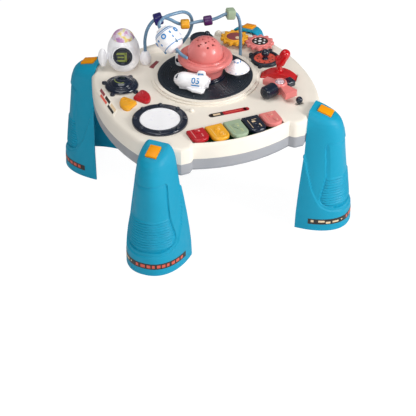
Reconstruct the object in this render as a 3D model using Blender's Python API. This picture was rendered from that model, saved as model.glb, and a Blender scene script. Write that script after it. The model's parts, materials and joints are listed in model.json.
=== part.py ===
"""Musical activity table for a small child, on four hollow legs. Metres, +Z up."""

import math

import bmesh
import bpy
from mathutils import Matrix, Vector

# General fits
GAP = 0.0003
SLIDE_FIT = 0.0005
WALL = 0.003
OVERRUN = 0.002
STEPS = 24
SMALL_STEPS = 14

# Deck: outline is mirrored in X and in Y, corners lie on the diagonals
DECK_TOP = 0.220
DECK_DEPTH = 0.030
SEAM_Z = DECK_TOP - DECK_DEPTH
TRAY_DEPTH = 0.024
TRAY_BOTTOM = SEAM_Z - TRAY_DEPTH
TRAY_INSET = 0.001
TRAY_EDGE = 0.005
DECK_EDGE = 0.007
SIDE_APEX = 0.193
FRONT_APEX = 0.181
LOBE_FACE = 0.1725
LOBE_STEP_OUT = 0.097
LOBE_STEP_IN = 0.090
LOBE_STEP_DEPTH = 0.0085
LOBE_ROUND = 0.009
SHOULDER = 0.204
TONGUE_LENGTH = 0.013
TONGUE_END = SHOULDER + TONGUE_LENGTH
TONGUE_HALF = 0.018
TONGUE_ROUND = 0.010

# Turntable, planet and lamp
TABLE_X = 0.013
TABLE_Y = 0.027
DISC_RADIUS = 0.0855
DISC_THICK = 0.004
DISC_ROOM = 0.0007
RIM_WIDTH = 0.0068
RIM_HEIGHT = 0.006
RIM_RADIUS = DISC_RADIUS + DISC_ROOM + RIM_WIDTH
STEP_WIDTH = 0.0045
STEP_HEIGHT = 0.003
STEP_RADIUS = RIM_RADIUS + STEP_WIDTH
COLLAR_RADIUS = 0.037
COLLAR_HEIGHT = 0.0047
POST_RADIUS = 0.009
BASE_FOOT_RADIUS = 0.031
BASE_WAIST_HEIGHT = 0.0105
BASE_FLARE_RADIUS = 0.041
BASE_FLARE_HEIGHT = 0.0215
BRIM_RADIUS = 0.049
BRIM_HEIGHT = 0.0295
BRIM_THICK = 0.010
BASE_CAVITY_RADIUS = 0.0205
BASE_CAVITY_HEIGHT = 0.0235
DOME_RADIUS = 0.032
DOME_NECK = 0.0125
LAMP_RADIUS = 0.008
LAMP_HEIGHT = 0.013
DOME_HOLE_RADIUS = 0.0022
DOME_HOLE_COUNT = 8

# Vehicles that ride on the turntable: radius from its centre and direction
SHUTTLE_REACH = 0.053
SHUTTLE_ANGLE = -141.4
SHUTTLE_TURN = -36.0
SHUTTLE_LENGTH = 0.062
SHUTTLE_RADIUS = 0.0125
SHUTTLE_LIFT = 0.0135
SHUTTLE_FIN_HEIGHT = 0.036
SHUTTLE_FIN_LENGTH = 0.014
SHUTTLE_FIN_THICK = 0.003
SHUTTLE_WING_SPAN = 0.040
SHUTTLE_WING_LENGTH = 0.026
SHUTTLE_WING_THICK = 0.003
SAUCER_REACH = 0.0575
SAUCER_ANGLE = -21.0
SAUCER_RADIUS = 0.0225
SAUCER_DOME_RADIUS = 0.011
SAUCER_HEIGHT = 0.028
SAUCER_RIM_HEIGHT = 0.010
SAUCER_FOOT_RADIUS = 0.009
CAPSULE_REACH = 0.056
CAPSULE_ANGLE = 118.0
CAPSULE_RADIUS = 0.011
CAPSULE_HEIGHT = 0.024
CAPSULE_FIN_LENGTH = 0.012
CAPSULE_FIN_THICK = 0.004

# Legs: u runs out along the diagonal, W is half the width
LEG_WALL = 0.003
LEG_INNER = SHOULDER + GAP
LEG_TOP_OVERHANG = 0.0005
LEG_TOP_INNER = SHOULDER - LEG_TOP_OVERHANG
LEG_POWER = 2.3
LEG_POINTS = 14
LEG_BASE_Z = 0.022
LEG_BASE_INSET = 0.0065
LEG_BASE_IN = SHOULDER - LEG_BASE_INSET
LEG_BASE_DEPTH = 0.085
LEG_BASE_OUT = LEG_BASE_IN + LEG_BASE_DEPTH
LEG_BASE_HALF = 0.056
LEG_FLANGE_Z = 0.031
LEG_FLANGE_STEP = 0.003
LEG_LOW_DROP = 0.130
LEG_LOW_Z = DECK_TOP - LEG_LOW_DROP
LEG_LOW_DEPTH = 0.0695
LEG_LOW_OUT = SHOULDER + LEG_LOW_DEPTH
LEG_LOW_HALF = 0.049
LEG_MID_DROP = 0.070
LEG_MID_Z = DECK_TOP - LEG_MID_DROP
LEG_MID_DEPTH = 0.063
LEG_MID_OUT = SHOULDER + LEG_MID_DEPTH
LEG_MID_HALF = 0.0375
LEG_LIP_DROP = 0.048
LEG_LIP_Z = DECK_TOP - LEG_LIP_DROP
LEG_LIP_DEPTH = 0.062
LEG_LIP_OUT = SHOULDER + LEG_LIP_DEPTH
LEG_LIP_HALF = 0.0345
LEG_LIP_STEP = 0.0035
LEG_SHOULDER_DROP = 0.016
LEG_SHOULDER_Z = DECK_TOP - LEG_SHOULDER_DROP
LEG_SHOULDER_DEPTH = 0.0545
LEG_SHOULDER_OUT = SHOULDER + LEG_SHOULDER_DEPTH
LEG_SHOULDER_HALF = 0.0305
LEG_CROWN_BELOW = 0.003
LEG_CROWN_Z = DECK_TOP - LEG_CROWN_BELOW
LEG_CROWN_DEPTH = 0.049
LEG_CROWN_OUT = SHOULDER + LEG_CROWN_DEPTH
LEG_CROWN_HALF = 0.027
LEG_CROWN_DROP = 0.007
LEG_TOP_RISE = 0.008
LEG_TOP_Z = DECK_TOP + LEG_TOP_RISE
LEG_TOP_DEPTH = 0.041
LEG_TOP_OUT = SHOULDER + LEG_TOP_DEPTH
LEG_TOP_HALF = 0.017
LEG_TOP_DROP = 0.0105
LEG_TOP_ROUND = 0.003
FOOT_LIP = 0.009
FOOT_LIP_THICK = 0.003

# Latch button in each leg's slanted top
LATCH_INSET = 0.0236
LATCH_U = SHOULDER + LATCH_INSET
LATCH_LENGTH = 0.026
LATCH_WIDTH = 0.020
LATCH_PROUD = 0.0035
LATCH_FIT = 0.0004

# Five keys along the front
KEY_COUNT = 5
KEY_PITCH = 0.034
KEY_WIDTH = 0.0315
KEY_ROW_X = -0.004
KEY_BACK = 0.127
KEY_FRONT_MARGIN = 0.0062
KEY_PROUD = 0.005
KEY_TOP = DECK_TOP + KEY_PROUD
KEY_THICK = 0.007
KEY_CORNER = 0.011
KEY_EDGE = 0.0015
KEY_SLOT_FIT = 0.0009
KEY_HINGE_INSET = 0.009
KEY_HINGE_Y = KEY_BACK - KEY_HINGE_INSET
KEY_HINGE_DROP = 0.0075
KEY_HINGE_Z = DECK_TOP - KEY_HINGE_DROP
KEY_TAIL_THICK = 0.004
KEY_TAIL_END = 0.005
KEY_TAIL_FRONT = 0.012

# Drum, cymbal and the two picks on the left
DRUM_X = -0.115
DRUM_Y = -0.075
DRUM_OUTER = 0.0485
DRUM_INNER = 0.0355
DRUM_HEIGHT = 0.0055
DRUM_PAD_RISE = 0.0024
DRUM_PAD_THICK = 0.0026
DRUM_STUD_COUNT = 8
DRUM_STUD_RADIUS = 0.0042
DRUM_STUD_HEIGHT = 0.0025
STEM_RADIUS = 0.006
STEM_DROP = 0.006
CYMBAL_X = -0.136
CYMBAL_Y = 0.057
CYMBAL_RADIUS = 0.030
CYMBAL_RISE = 0.0025
CYMBAL_HEIGHT = 0.0135
PICK_PROUD = 0.005
PICK_TOP = DECK_TOP + PICK_PROUD
PICK_THICK = 0.0115
PICK_BOTTOM = PICK_TOP - PICK_THICK
PICK_EDGE = 0.002
PICK_ROUND = 0.005
YELLOW_X = -0.1457
YELLOW_Y = -0.0042
YELLOW_TURN = -11.0
RED_X = -0.1178
RED_Y = 0.0067
RED_TURN = 171.0
PICK_REACH = 0.032
PICK_HALF_ANGLE = 48.0

# Robot and the socket beside it that holds the rear wire
ROBOT_X = -0.108
ROBOT_Y = 0.120
ROBOT_RADIUS = 0.0295
ROBOT_HEIGHT = 0.061
ROBOT_FOOT_RADIUS = 0.020
ROBOT_NECK_RADIUS = 0.0198
ROBOT_CAP_RADIUS = 0.0195
ROBOT_CAP_HEIGHT = 0.0165
PORT_RADIUS = 0.017
PORT_THICK = 0.009
PORT_DEPTH = 0.0215
PORT_TURN = -23.0
PORT_LIFT = 8.0
PORT_HEIGHT = 0.033
BOOSTER_X = -0.1467
BOOSTER_Y = 0.125
BOOSTER_RADIUS = 0.009
BOOSTER_HEIGHT = 0.038
SOCKET_X = -0.068
SOCKET_ROOM = 0.0098
SOCKET_Y = TABLE_Y + STEP_RADIUS - SOCKET_ROOM
SOCKET_RADIUS = 0.010
SOCKET_HEIGHT = 0.027
SOCKET_ROUND = 0.004

# Bead wires: points chosen by hand along each route
WIRE_RADIUS = 0.003
WIRE_FIT = 0.0004
WIRE_SPACING = 0.0125
RIGHT_FOOT_ROOM = 0.007
RIGHT_FOOT_X = TABLE_X + STEP_RADIUS - RIGHT_FOOT_ROOM
RIGHT_FOOT_Y = 0.0745
LOOP_FOOT_X = 0.0
LOOP_FOOT_ROOM = 0.0055
LOOP_FOOT_Y = TABLE_Y + STEP_RADIUS + LOOP_FOOT_ROOM
REAR_LEFT_ROUTE = (
    (0, 0, 0.0145), (0, 0, 0.03), (-0.0005, -0.0007, 0.048), (0.002, -0.0027, 0.066),
    (0.007, -0.0047, 0.079), (0.014, -0.0062, 0.088), (0.023, -0.0077, 0.092), (0.034, -0.0107, 0.093),
    (0.045, -0.0147, 0.0885),
)
REAR_RIGHT_ROUTE = (
    (-0.1185, 0.0227, 0.083), (-0.111, 0.0201, 0.0795), (-0.1025, 0.0175, 0.0785), (-0.093, 0.0143, 0.0795),
    (-0.0775, 0.0095, 0.0825), (-0.0625, 0.0045, 0.084), (-0.0525, 0.0015, 0.086),
    (-0.0445, -0.0015, 0.0895), (-0.034, -0.0045, 0.0945), (-0.0235, -0.007, 0.096),
    (-0.013, -0.0075, 0.0925), (-0.006, -0.0065, 0.078), (-0.0025, -0.0045, 0.052),
    (-0.0005, -0.0015, 0.026), (0, 0, 0.008), (0, 0, -0.0055),
)
LOOP_ROUTE = (
    (0, 0, -0.0055), (0, 0, 0.005), (0.003, -0.005, 0.016), (0.01, -0.014, 0.032), (0.017, -0.022, 0.052),
    (0.019, -0.028, 0.073), (0.012, -0.0345, 0.093), (-0.002, -0.0395, 0.1045), (-0.02, -0.043, 0.107),
    (-0.039, -0.045, 0.1055), (-0.051, -0.0485, 0.099), (-0.0545, -0.0538, 0.0937),
    (-0.05, -0.0644, 0.0861), (-0.0455, -0.075, 0.0784), (-0.041, -0.0856, 0.0707),
    (-0.0365, -0.0962, 0.063), (-0.0322, -0.1065, 0.0585), (-0.028, -0.116, 0.0575),
)

# Beads: place among the rear wire's points, and size
BEAD_BORE = 0.0048
BEAD_SAG = 0.0003
BEAD_LENGTH = 0.016
BEAD_ACROSS = 0.018
BEAD_EDGE = 0.0025

# Rocket on the loop wire, profile along the wire
ROCKET_POINT = 13
ROCKET_LENGTH = 0.046
ROCKET_BORE = 0.0040
ROCKET_RADIUS = 0.0230
ROCKET_NOSE_RADIUS = 0.008
ROCKET_TAIL_RADIUS = 0.014

# Two meshing gears
GEAR_ROOM = 0.0005
GEAR_X = TABLE_X + STEP_RADIUS + GEAR_ROOM
GEAR_Y = 0.118
GEAR_TURN = -44.0
GEAR_TEETH = 12
GEAR_PITCH_RADIUS = 0.0244
GEAR_TOOTH = 0.002
GEAR_MESH_GAP = 0.0012
GEAR_SPACING = 2 * GEAR_PITCH_RADIUS + GEAR_MESH_GAP
GEAR_THICK = 0.0055
GEAR_LIFT = 0.0092
GEAR_HUB_RADIUS = 0.009
GEAR_CAP_RADIUS = 0.0155
GEAR_CAP_HEIGHT = 0.002

# Dial with its ball, and the rear dial
DIAL_ROOM = 0.027
DIAL_X = TABLE_X + STEP_RADIUS + DIAL_ROOM
DIAL_Y = 0.039
DIAL_OUTER = 0.0265
DIAL_INNER = 0.0213
DIAL_HEIGHT = 0.007
DIAL_FACE_RADIUS = 0.0208
DIAL_FACE_THICK = 0.004
DIAL_LUG_RADIUS = 0.004
DIAL_LUG_OUT = 0.001
DIAL_LUG_REACH = DIAL_OUTER + DIAL_LUG_OUT
DIAL_NECK_RADIUS = 0.003
DIAL_BALL_RADIUS = 0.0067
DIAL_BALL_LIFT = 0.0155
REAR_DIAL_X = 0.057
REAR_DIAL_ROOM = 0.0225
REAR_DIAL_Y = TABLE_Y + STEP_RADIUS + REAR_DIAL_ROOM
REAR_DIAL_RADIUS = 0.022
REAR_DIAL_THICK = 0.010
REAR_KNOB_REACH = 0.0165
REAR_KNOB_RADIUS = 0.004
REAR_KNOB_HEIGHT = 0.007
REAR_KNOB_ANGLE = 21.0

# Joystick: a curved cover that rocks on an axle below the deck
STICK_X = 0.137
STICK_Y = -0.021
STICK_TURN = -35.0
STICK_AXLE_DROP = 0.0315
STICK_AXLE_Z = DECK_TOP - STICK_AXLE_DROP
STICK_RADIUS = 0.0435
STICK_HALF_ANGLE = 58.0
STICK_WIDTH = 0.024
STICK_SIDE_FIT = 0.0006
STICK_SLOT_HALF = 0.0335
STICK_HUB_RADIUS = 0.007
AXLE_RADIUS = 0.003
AXLE_LENGTH = 0.034
AXLE_POST_THICK = 0.004
AXLE_POST_WIDTH = 0.014
STEM_LENGTH = 0.018
STICK_STEM_RADIUS = 0.0055
GRIP_RADIUS = 0.009
GRIP_LENGTH = 0.032
GRIP_LEAN = 26.0

# Spinner with four unlike arms
SPIN_X = 0.115
SPIN_Y = -0.070
SPIN_HUB_RADIUS = 0.010
SPIN_HUB_HEIGHT = 0.020
SPIN_ARM_LOW = 0.0065
SPIN_ARM_THICK = 0.012
SPIN_ARM_WIDTH = 0.016
SPIN_ARM_ANGLE = 120.0
SPIN_ARM_REACH = 0.033
SPIN_WEDGE_ANGLE = 280.0
SPIN_WEDGE_REACH = 0.036
SPIN_WEDGE_WIDTH = 0.026
SPIN_DRUM_ANGLE = 200.0
SPIN_DRUM_RADIUS = 0.0118
SPIN_DRUM_NEAR = 0.0115
SPIN_DRUM_FAR = 0.039
SPIN_SLAB_ANGLE = 12.0
SPIN_SLAB_NEAR = 0.0115
SPIN_SLAB_FAR = 0.030
SPIN_SLAB_WIDTH = 0.018
SPIN_SLAB_THICK = 0.012
SPIN_PEG_RADIUS = 0.003
SPIN_PEG_REACH = 0.018
SPIN_LENS_RADIUS = 0.0085
SPIN_LENS_HEIGHT = 0.005

# Small ball knob that slides in a slot
KNOB_X = 0.130
KNOB_Y = -0.119
KNOB_RADIUS = 0.0063
KNOB_LIFT = 0.008
KNOB_NECK = 0.0022
KNOB_TRAVEL = 0.005
KNOB_SLOT_FIT = 0.0006

# Fixed bumps of the deck, with shares of their radius and height
BUMP_SHARES = ((0, 1), (0.5, 0.87), (0.87, 0.5), (1, 0), (1, -0.2), (0, -0.2))
MOUND_X = -0.025
MOUND_Y = 0.154
MOUND_LENGTH = 0.030
MOUND_WIDTH = 0.013
MOUND_HEIGHT = 0.008
BOSS_X = 0.097
BOSS_Y = 0.160
BOSS_RADIUS = 0.008
BOSS_HEIGHT = 0.008
NUB_X = -0.053
NUB_Y = -0.067
NUB_RADIUS = 0.005
NUB_HEIGHT = 0.006

# Electronics inside the tray
DOOR_X = 0.040
DOOR_Y = 0.020
DOOR_LENGTH = 0.118
DOOR_WIDTH = 0.070
BATTERY_LENGTH = 0.110
BATTERY_WIDTH = 0.062
BATTERY_HEIGHT = 0.017
BATTERY_WALL = 0.002
BATTERY_ROWS = 3
SPEAKER_X = -0.090
SPEAKER_Y = 0.020
SPEAKER_RADIUS = 0.028
SPEAKER_HEIGHT = 0.014
SPEAKER_SLOT_COUNT = 5
SPEAKER_SLOT_PITCH = 0.008
SPEAKER_SLOT_WIDTH = 0.003
SPEAKER_SLOT_LENGTH = 0.036
BOARD_X = -0.004
BOARD_Y = -0.142
BOARD_LENGTH = 0.166
BOARD_WIDTH = 0.036
BOARD_THICK = 0.0016
BOARD_DROP = 0.017
BOARD_Z = DECK_TOP - BOARD_DROP
BOARD_POST_RADIUS = 0.004
BOARD_POST_INSET = 0.006

def from_foot(route, x, y):
    """A wire's points, from their offsets to its foot on the deck's top."""
    return [(x + dx, y + dy, DECK_TOP + dz) for dx, dy, dz in route]


REAR_WIRE = (from_foot(REAR_LEFT_ROUTE, SOCKET_X, SOCKET_Y)
             + from_foot(REAR_RIGHT_ROUTE, RIGHT_FOOT_X, RIGHT_FOOT_Y))
LOOP_WIRE = from_foot(LOOP_ROUTE, LOOP_FOOT_X, LOOP_FOOT_Y)

COLOURS = {
    "cream": (0.88, 0.83, 0.71, 0.45, 0.0),
    "grey": (0.33, 0.34, 0.37, 0.5, 0.0),
    "turquoise": (0.012, 0.33, 0.52, 0.35, 0.0),
    "orange": (0.95, 0.40, 0.01, 0.35, 0.0),
    "navy": (0.008, 0.016, 0.05, 0.25, 0.0),
    "slate": (0.02, 0.03, 0.05, 0.4, 0.0),
    "pink": (0.86, 0.28, 0.26, 0.35, 0.0),
    "red": (0.60, 0.0, 0.01, 0.3, 0.0),
    "yellow": (0.87, 0.38, 0.01, 0.35, 0.0),
    "sage": (0.35, 0.52, 0.35, 0.4, 0.0),
    "purple": (0.07, 0.01, 0.09, 0.4, 0.0),
    "white": (0.86, 0.84, 0.88, 0.35, 0.0),
    "wire": (0.155, 0.30, 0.46, 0.35, 0.3),
    "green": (0.02, 0.16, 0.06, 0.5, 0.0),
    "steel": (0.5, 0.5, 0.52, 0.3, 1.0),
    "clear": (0.9, 0.93, 0.95, 0.05, 0.0),
}


# Helpers

def clear_scene():
    for old in list(bpy.data.objects):
        bpy.data.objects.remove(old)


def collection(name):
    found = bpy.data.collections.new(name)
    bpy.context.scene.collection.children.link(found)
    return found


def material(name):
    found = bpy.data.materials.get(name)
    if found:
        return found
    red, green, blue, rough, metal = COLOURS[name]
    found = bpy.data.materials.new(name)
    found.use_nodes = True
    shader = found.node_tree.nodes["Principled BSDF"]
    shader.inputs["Base Color"].default_value = (red, green, blue, 1)
    shader.inputs["Roughness"].default_value = rough
    shader.inputs["Metallic"].default_value = metal
    return found


def place(name, mesh, colour, at=(0, 0, 0), turn=None):
    """One named node: its mesh in its own frame, set at a place and turned."""
    piece = bpy.data.objects.new(name, mesh)
    mesh.materials.append(material(colour))
    parts.objects.link(piece)
    piece.matrix_world = Matrix.Translation(at) @ (turn or Matrix())
    mesh.shade_smooth()
    mesh.set_sharp_from_angle(angle=math.radians(35))
    return piece


def mesh_from(work):
    mesh = bpy.data.meshes.new("shape")
    bmesh.ops.recalc_face_normals(work, faces=work.faces)
    work.to_mesh(mesh)
    work.free()
    return mesh


def box_mesh(size, centre=(0, 0, 0)):
    work = bmesh.new()
    bmesh.ops.create_cube(work, size=1)
    bmesh.ops.scale(work, vec=size, verts=work.verts)
    bmesh.ops.translate(work, vec=centre, verts=work.verts)
    return mesh_from(work)


def rounded_box(size, radius, centre=(0, 0, 0), segments=2):
    work = bmesh.new()
    bmesh.ops.create_cube(work, size=1)
    bmesh.ops.scale(work, vec=size, verts=work.verts)
    bmesh.ops.bevel(work, geom=work.edges[:], offset=radius, segments=segments, profile=0.5, affect="EDGES",
                    material=-1)
    bmesh.ops.translate(work, vec=centre, verts=work.verts)
    return mesh_from(work)


def turned_mesh(profile, steps=STEPS):
    """A profile of (radius, height) that starts and ends on the axis, turned about Z."""
    work = bmesh.new()
    points = [work.verts.new((radius, 0, height)) for radius, height in profile]
    edges = [work.edges.new(pair) for pair in zip(points, points[1:])]
    bmesh.ops.spin(work, geom=points + edges, cent=(0, 0, 0), axis=(0, 0, 1), angle=math.tau, steps=steps,
                   use_merge=True)
    bmesh.ops.remove_doubles(work, verts=work.verts, dist=1e-6)
    return mesh_from(work)


def ring_mesh(profile, steps=STEPS):
    """A closed profile of (radius, height) away from the axis, turned about Z."""
    work = bmesh.new()
    points = [work.verts.new((radius, 0, height)) for radius, height in profile]
    edges = [work.edges.new(pair) for pair in zip(points, points[1:] + points[:1])]
    bmesh.ops.spin(work, geom=points + edges, cent=(0, 0, 0), axis=(0, 0, 1), angle=math.tau, steps=steps,
                   use_merge=True)
    bmesh.ops.remove_doubles(work, verts=work.verts, dist=1e-6)
    return mesh_from(work)


def cylinder_mesh(radius, low, high, steps=STEPS):
    return turned_mesh([(0, high), (radius, high), (radius, low), (0, low)], steps)


def plate_mesh(outline, low, high, holes=(), edge=0, segments=2):
    """A flat outline of (x, y) points with holes, between two heights, with rounded edges."""
    curve = bpy.data.curves.new("outline", "CURVE")
    curve.dimensions = "2D"
    curve.fill_mode = "BOTH"
    curve.extrude = (high - low) / 2
    for loop in (outline, *holes):
        spline = curve.splines.new("POLY")
        spline.points.add(len(loop) - 1)
        for point, (x, y) in zip(spline.points, loop):
            point.co = (x, y, (high + low) / 2, 1)
        spline.use_cyclic_u = True
    mesh = curve_mesh(curve)
    if edge:
        work = bmesh.new()
        work.from_mesh(mesh)
        bmesh.ops.dissolve_limit(work, angle_limit=math.radians(1), verts=work.verts, edges=work.edges)
        flat = [e for e in work.edges if len(e.link_faces) == 2
                and abs(e.link_faces[0].normal.z - e.link_faces[1].normal.z) > 0.5]
        rim = [e for e in flat if all(v.co.z > (high + low) / 2 for v in e.verts)]
        bmesh.ops.bevel(work, geom=rim, offset=edge, segments=segments, profile=0.5, affect="EDGES", material=-1)
        work.to_mesh(mesh)
        work.free()
    return mesh


def curve_mesh(curve):
    """The welded mesh of a curve, which is then removed."""
    holder = bpy.data.objects.new("guide", curve)
    bpy.context.scene.collection.objects.link(holder)
    bpy.context.view_layer.update()
    mesh = bpy.data.meshes.new_from_object(holder.evaluated_get(bpy.context.evaluated_depsgraph_get()))
    bpy.data.objects.remove(holder)
    bpy.data.curves.remove(curve)
    work = bmesh.new()
    work.from_mesh(mesh)
    bmesh.ops.remove_doubles(work, verts=work.verts, dist=1e-6)
    bmesh.ops.recalc_face_normals(work, faces=work.faces)
    work.to_mesh(mesh)
    work.free()
    return mesh


def loft_mesh(rings):
    """Closed rings with equal point counts, bridged in turn and capped at both ends."""
    work = bmesh.new()
    loops = [[work.verts.new(point) for point in ring] for ring in rings]
    for lower, upper in zip(loops, loops[1:]):
        for index, start in enumerate(lower):
            after = (index + 1) % len(lower)
            work.faces.new((start, lower[after], upper[after], upper[index]))
    work.faces.new(loops[0])
    work.faces.new(loops[-1])
    return mesh_from(work)


def joined(*meshes):
    """Separate closed meshes gathered in one, for a cutter."""
    work = bmesh.new()
    for mesh in meshes:
        work.from_mesh(mesh)
    whole = bpy.data.meshes.new("gathered")
    work.to_mesh(whole)
    work.free()
    return whole


def moved(mesh, at=(0, 0, 0), turn=None):
    mesh.transform(Matrix.Translation(at) @ (turn or Matrix()))
    return mesh


def combine(mesh, other, operation):
    """The exact Boolean of two meshes in one frame."""
    base = bpy.data.objects.new("base", mesh)
    tool = bpy.data.objects.new("tool", other)
    tool.hide_render = True
    tool.display_type = "WIRE"
    for holder in (base, tool):
        cutters.objects.link(holder)
    step = base.modifiers.new("cut", "BOOLEAN")
    step.solver = "EXACT"
    step.operation = operation
    step.object = tool
    bpy.context.view_layer.update()
    result = bpy.data.meshes.new_from_object(base.evaluated_get(bpy.context.evaluated_depsgraph_get()))
    bpy.data.objects.remove(base)
    bpy.data.objects.remove(tool)
    return result


def cut(mesh, *others):
    return combine(mesh, joined(*others), "DIFFERENCE")


def unite(mesh, *others):
    for other in others:
        mesh = combine(mesh, other, "UNION")
    return mesh


def triangulated(mesh):
    work = bmesh.new()
    work.from_mesh(mesh)
    bmesh.ops.triangulate(work, faces=work.faces)
    work.to_mesh(mesh)
    work.free()
    return mesh


def about_z(degrees):
    return Matrix.Rotation(math.radians(degrees), 4, "Z")


def polar(radius, degrees, centre=(0, 0)):
    angle = math.radians(degrees)
    return centre[0] + radius * math.cos(angle), centre[1] + radius * math.sin(angle)


def arc(centre, radius, start, end, count):
    return [polar(radius, start + (end - start) * step / count, centre) for step in range(count + 1)]


def rounded_corners(corners, radii, count=3):
    """Corners in order, each replaced by an arc of its own radius."""
    points = []
    for index, radius in enumerate(radii):
        here = Vector(corners[index])
        before = Vector(corners[index - 1]) - here
        after = Vector(corners[(index + 1) % len(corners)]) - here
        if not radius:
            points.append(tuple(here))
            continue
        turn = math.pi - before.angle(after)
        reach = radius * math.tan(turn / 2)
        start = here + before.normalized() * reach
        end = here + after.normalized() * reach
        middle = here + (before.normalized() + after.normalized()).normalized() * (radius / math.cos(turn / 2))
        for step in range(count + 1):
            share = step / count
            spoke = (start - middle).lerp(end - middle, share).normalized() * radius
            points.append(tuple(middle + spoke))
    return points


def inset_outline(points, inset):
    """A counter-clockwise outline moved inward, each point along its corner's bisector."""
    result = []
    for index, point in enumerate(points):
        here = Vector(point)
        before = (here - Vector(points[index - 1])).normalized()
        after = (Vector(points[(index + 1) % len(points)]) - here).normalized()
        normals = Vector((-before.y, before.x)), Vector((-after.y, after.x))
        bisector = (normals[0] + normals[1]).normalized()
        result.append(tuple(here + bisector * (inset / max(bisector.dot(normals[0]), 0.3))))
    return result


def capsule_profile(radius, height, rounding, base=0, count=3):
    """A profile down the outer side of a post with a rounded top."""
    points = [(0, base + height)]
    for step in range(count + 1):
        angle = math.pi / 2 * (1 - step / count)
        points.append((radius - rounding + rounding * math.cos(angle),
                       base + height - rounding + rounding * math.sin(angle)))
    return points + [(radius, base), (0, base)]


def smooth_route(points, spacing):
    """Points at an even spacing on a smooth curve through the route's own points."""
    route = [Vector(point) for point in points]
    route = [2 * route[0] - route[1]] + route + [2 * route[-1] - route[-2]]
    fine = []
    pieces = 12
    for a, b, c, d in zip(route, route[1:], route[2:], route[3:]):
        for step in range(pieces):
            t = step / pieces
            fine.append(0.5 * (2 * b + (c - a) * t + (2 * a - 5 * b + 4 * c - d) * t * t
                               + (3 * b - a - 3 * c + d) * t ** 3))
    fine.append(route[-2])
    lengths = [0]
    for start, end in zip(fine, fine[1:]):
        lengths.append(lengths[-1] + (end - start).length)
    count = round(lengths[-1] / spacing)
    even = []
    index = 0
    for step in range(count + 1):
        target = lengths[-1] * step / count
        while index < len(fine) - 2 and lengths[index + 1] < target:
            index += 1
        share = (target - lengths[index]) / (lengths[index + 1] - lengths[index])
        even.append(fine[index].lerp(fine[index + 1], share))
    return even


def tube_mesh(points, radius):
    curve = bpy.data.curves.new("route", "CURVE")
    curve.dimensions = "3D"
    curve.bevel_depth = radius
    curve.bevel_resolution = 2
    curve.use_fill_caps = True
    spline = curve.splines.new("POLY")
    spline.points.add(len(points) - 1)
    for point, co in zip(spline.points, points):
        point.co = (*co, 1)
    return curve_mesh(curve)


# Deck

def front_bulge_radius():
    chord_y = LOBE_FACE - LOBE_STEP_DEPTH
    rise = FRONT_APEX - chord_y
    return (LOBE_STEP_IN ** 2 + rise ** 2) / (2 * rise)


def front_edge(x):
    """How far the deck reaches toward the front at this x."""
    radius = front_bulge_radius()
    return FRONT_APEX - radius + math.sqrt(radius ** 2 - x ** 2)


def deck_outline():
    """The deck's outline, counter-clockwise, one quarter mirrored four times."""
    diagonal = math.sqrt(2)
    shoulder_y = LOBE_FACE
    shoulder_x = SHOULDER * diagonal - LOBE_FACE
    side_rise = SIDE_APEX - shoulder_y
    side_radius = (shoulder_x ** 2 + side_rise ** 2) / (2 * side_rise)
    half_angle = math.degrees(math.asin(shoulder_x / side_radius))
    side = arc((SIDE_APEX - side_radius, 0), side_radius, 0, half_angle, 5)
    root = [((SHOULDER + TONGUE_HALF) / diagonal, (SHOULDER - TONGUE_HALF) / diagonal)]
    tip = [((TONGUE_END + TONGUE_HALF) / diagonal, (TONGUE_END - TONGUE_HALF) / diagonal)]
    corners = [side[-1]] + root + tip + [(y, x) for x, y in tip + root]
    corners += [(shoulder_x, shoulder_y), (LOBE_STEP_OUT, LOBE_FACE), (LOBE_STEP_IN, LOBE_FACE - LOBE_STEP_DEPTH)]
    radii = [0, 0, TONGUE_ROUND, TONGUE_ROUND, 0, 0, LOBE_ROUND, 0]
    lobe = rounded_corners(corners, radii, 2)
    bulge = front_bulge_radius()
    end = math.degrees(math.asin(LOBE_STEP_IN / bulge))
    front = arc((0, FRONT_APEX - bulge), bulge, 90 - end, 90, 4)
    quarter = side[:-1] + lobe + front[1:]
    upper = quarter + [(-x, y) for x, y in reversed(quarter[:-1])]
    return upper + [(x, -y) for x, y in reversed(upper[1:-1])]


def deck_shell():
    """Open shell with a rounded top edge, from the seam up."""
    outline = deck_outline()
    rings = [[(x, y, DECK_TOP - WALL) for x, y in inset_outline(outline, DECK_EDGE)]]
    rings.append([(x, y, DECK_TOP - DECK_EDGE) for x, y in inset_outline(outline, WALL)])
    rings.append([(x, y, SEAM_Z) for x, y in inset_outline(outline, WALL)])
    rings.append([(x, y, SEAM_Z) for x, y in outline])
    for degrees in (0, 30, 60, 90):
        angle = math.radians(degrees)
        inward = DECK_EDGE * (1 - math.cos(angle))
        height = DECK_TOP - DECK_EDGE * (1 - math.sin(angle))
        rings.append([(x, y, height) for x, y in inset_outline(outline, inward)])
    return loft_mesh(rings)


def key_centre_x(index):
    return KEY_ROW_X + (index - (KEY_COUNT - 1) / 2) * KEY_PITCH


def key_front(x):
    return front_edge(x) - KEY_FRONT_MARGIN


def key_pocket():
    """One opening for all the keys, its front along the deck's front edge."""
    half = (KEY_COUNT - 1) / 2 * KEY_PITCH + KEY_WIDTH / 2 + KEY_SLOT_FIT
    left = KEY_ROW_X - half
    right = KEY_ROW_X + half
    steps = 10
    front = [left + (right - left) * step / steps for step in range(steps + 1)]
    outline = [(x, -key_front(x) - KEY_SLOT_FIT) for x in front]
    outline += [(right, -KEY_BACK + KEY_SLOT_FIT), (left, -KEY_BACK + KEY_SLOT_FIT)]
    return plate_mesh(outline, DECK_TOP - WALL - OVERRUN, DECK_TOP + OVERRUN)


def pick_outline(grow=0):
    """A rounded wedge with a round back, its point along +X."""
    tip = (PICK_REACH / 2, 0)
    back = arc(tip, PICK_REACH, 180 - PICK_HALF_ANGLE, 180 + PICK_HALF_ANGLE, 5)
    radii = [PICK_ROUND] * 2 + [0] * 4 + [PICK_ROUND]
    return inset_outline(rounded_corners([tip] + back, radii, 3), -grow)


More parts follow.
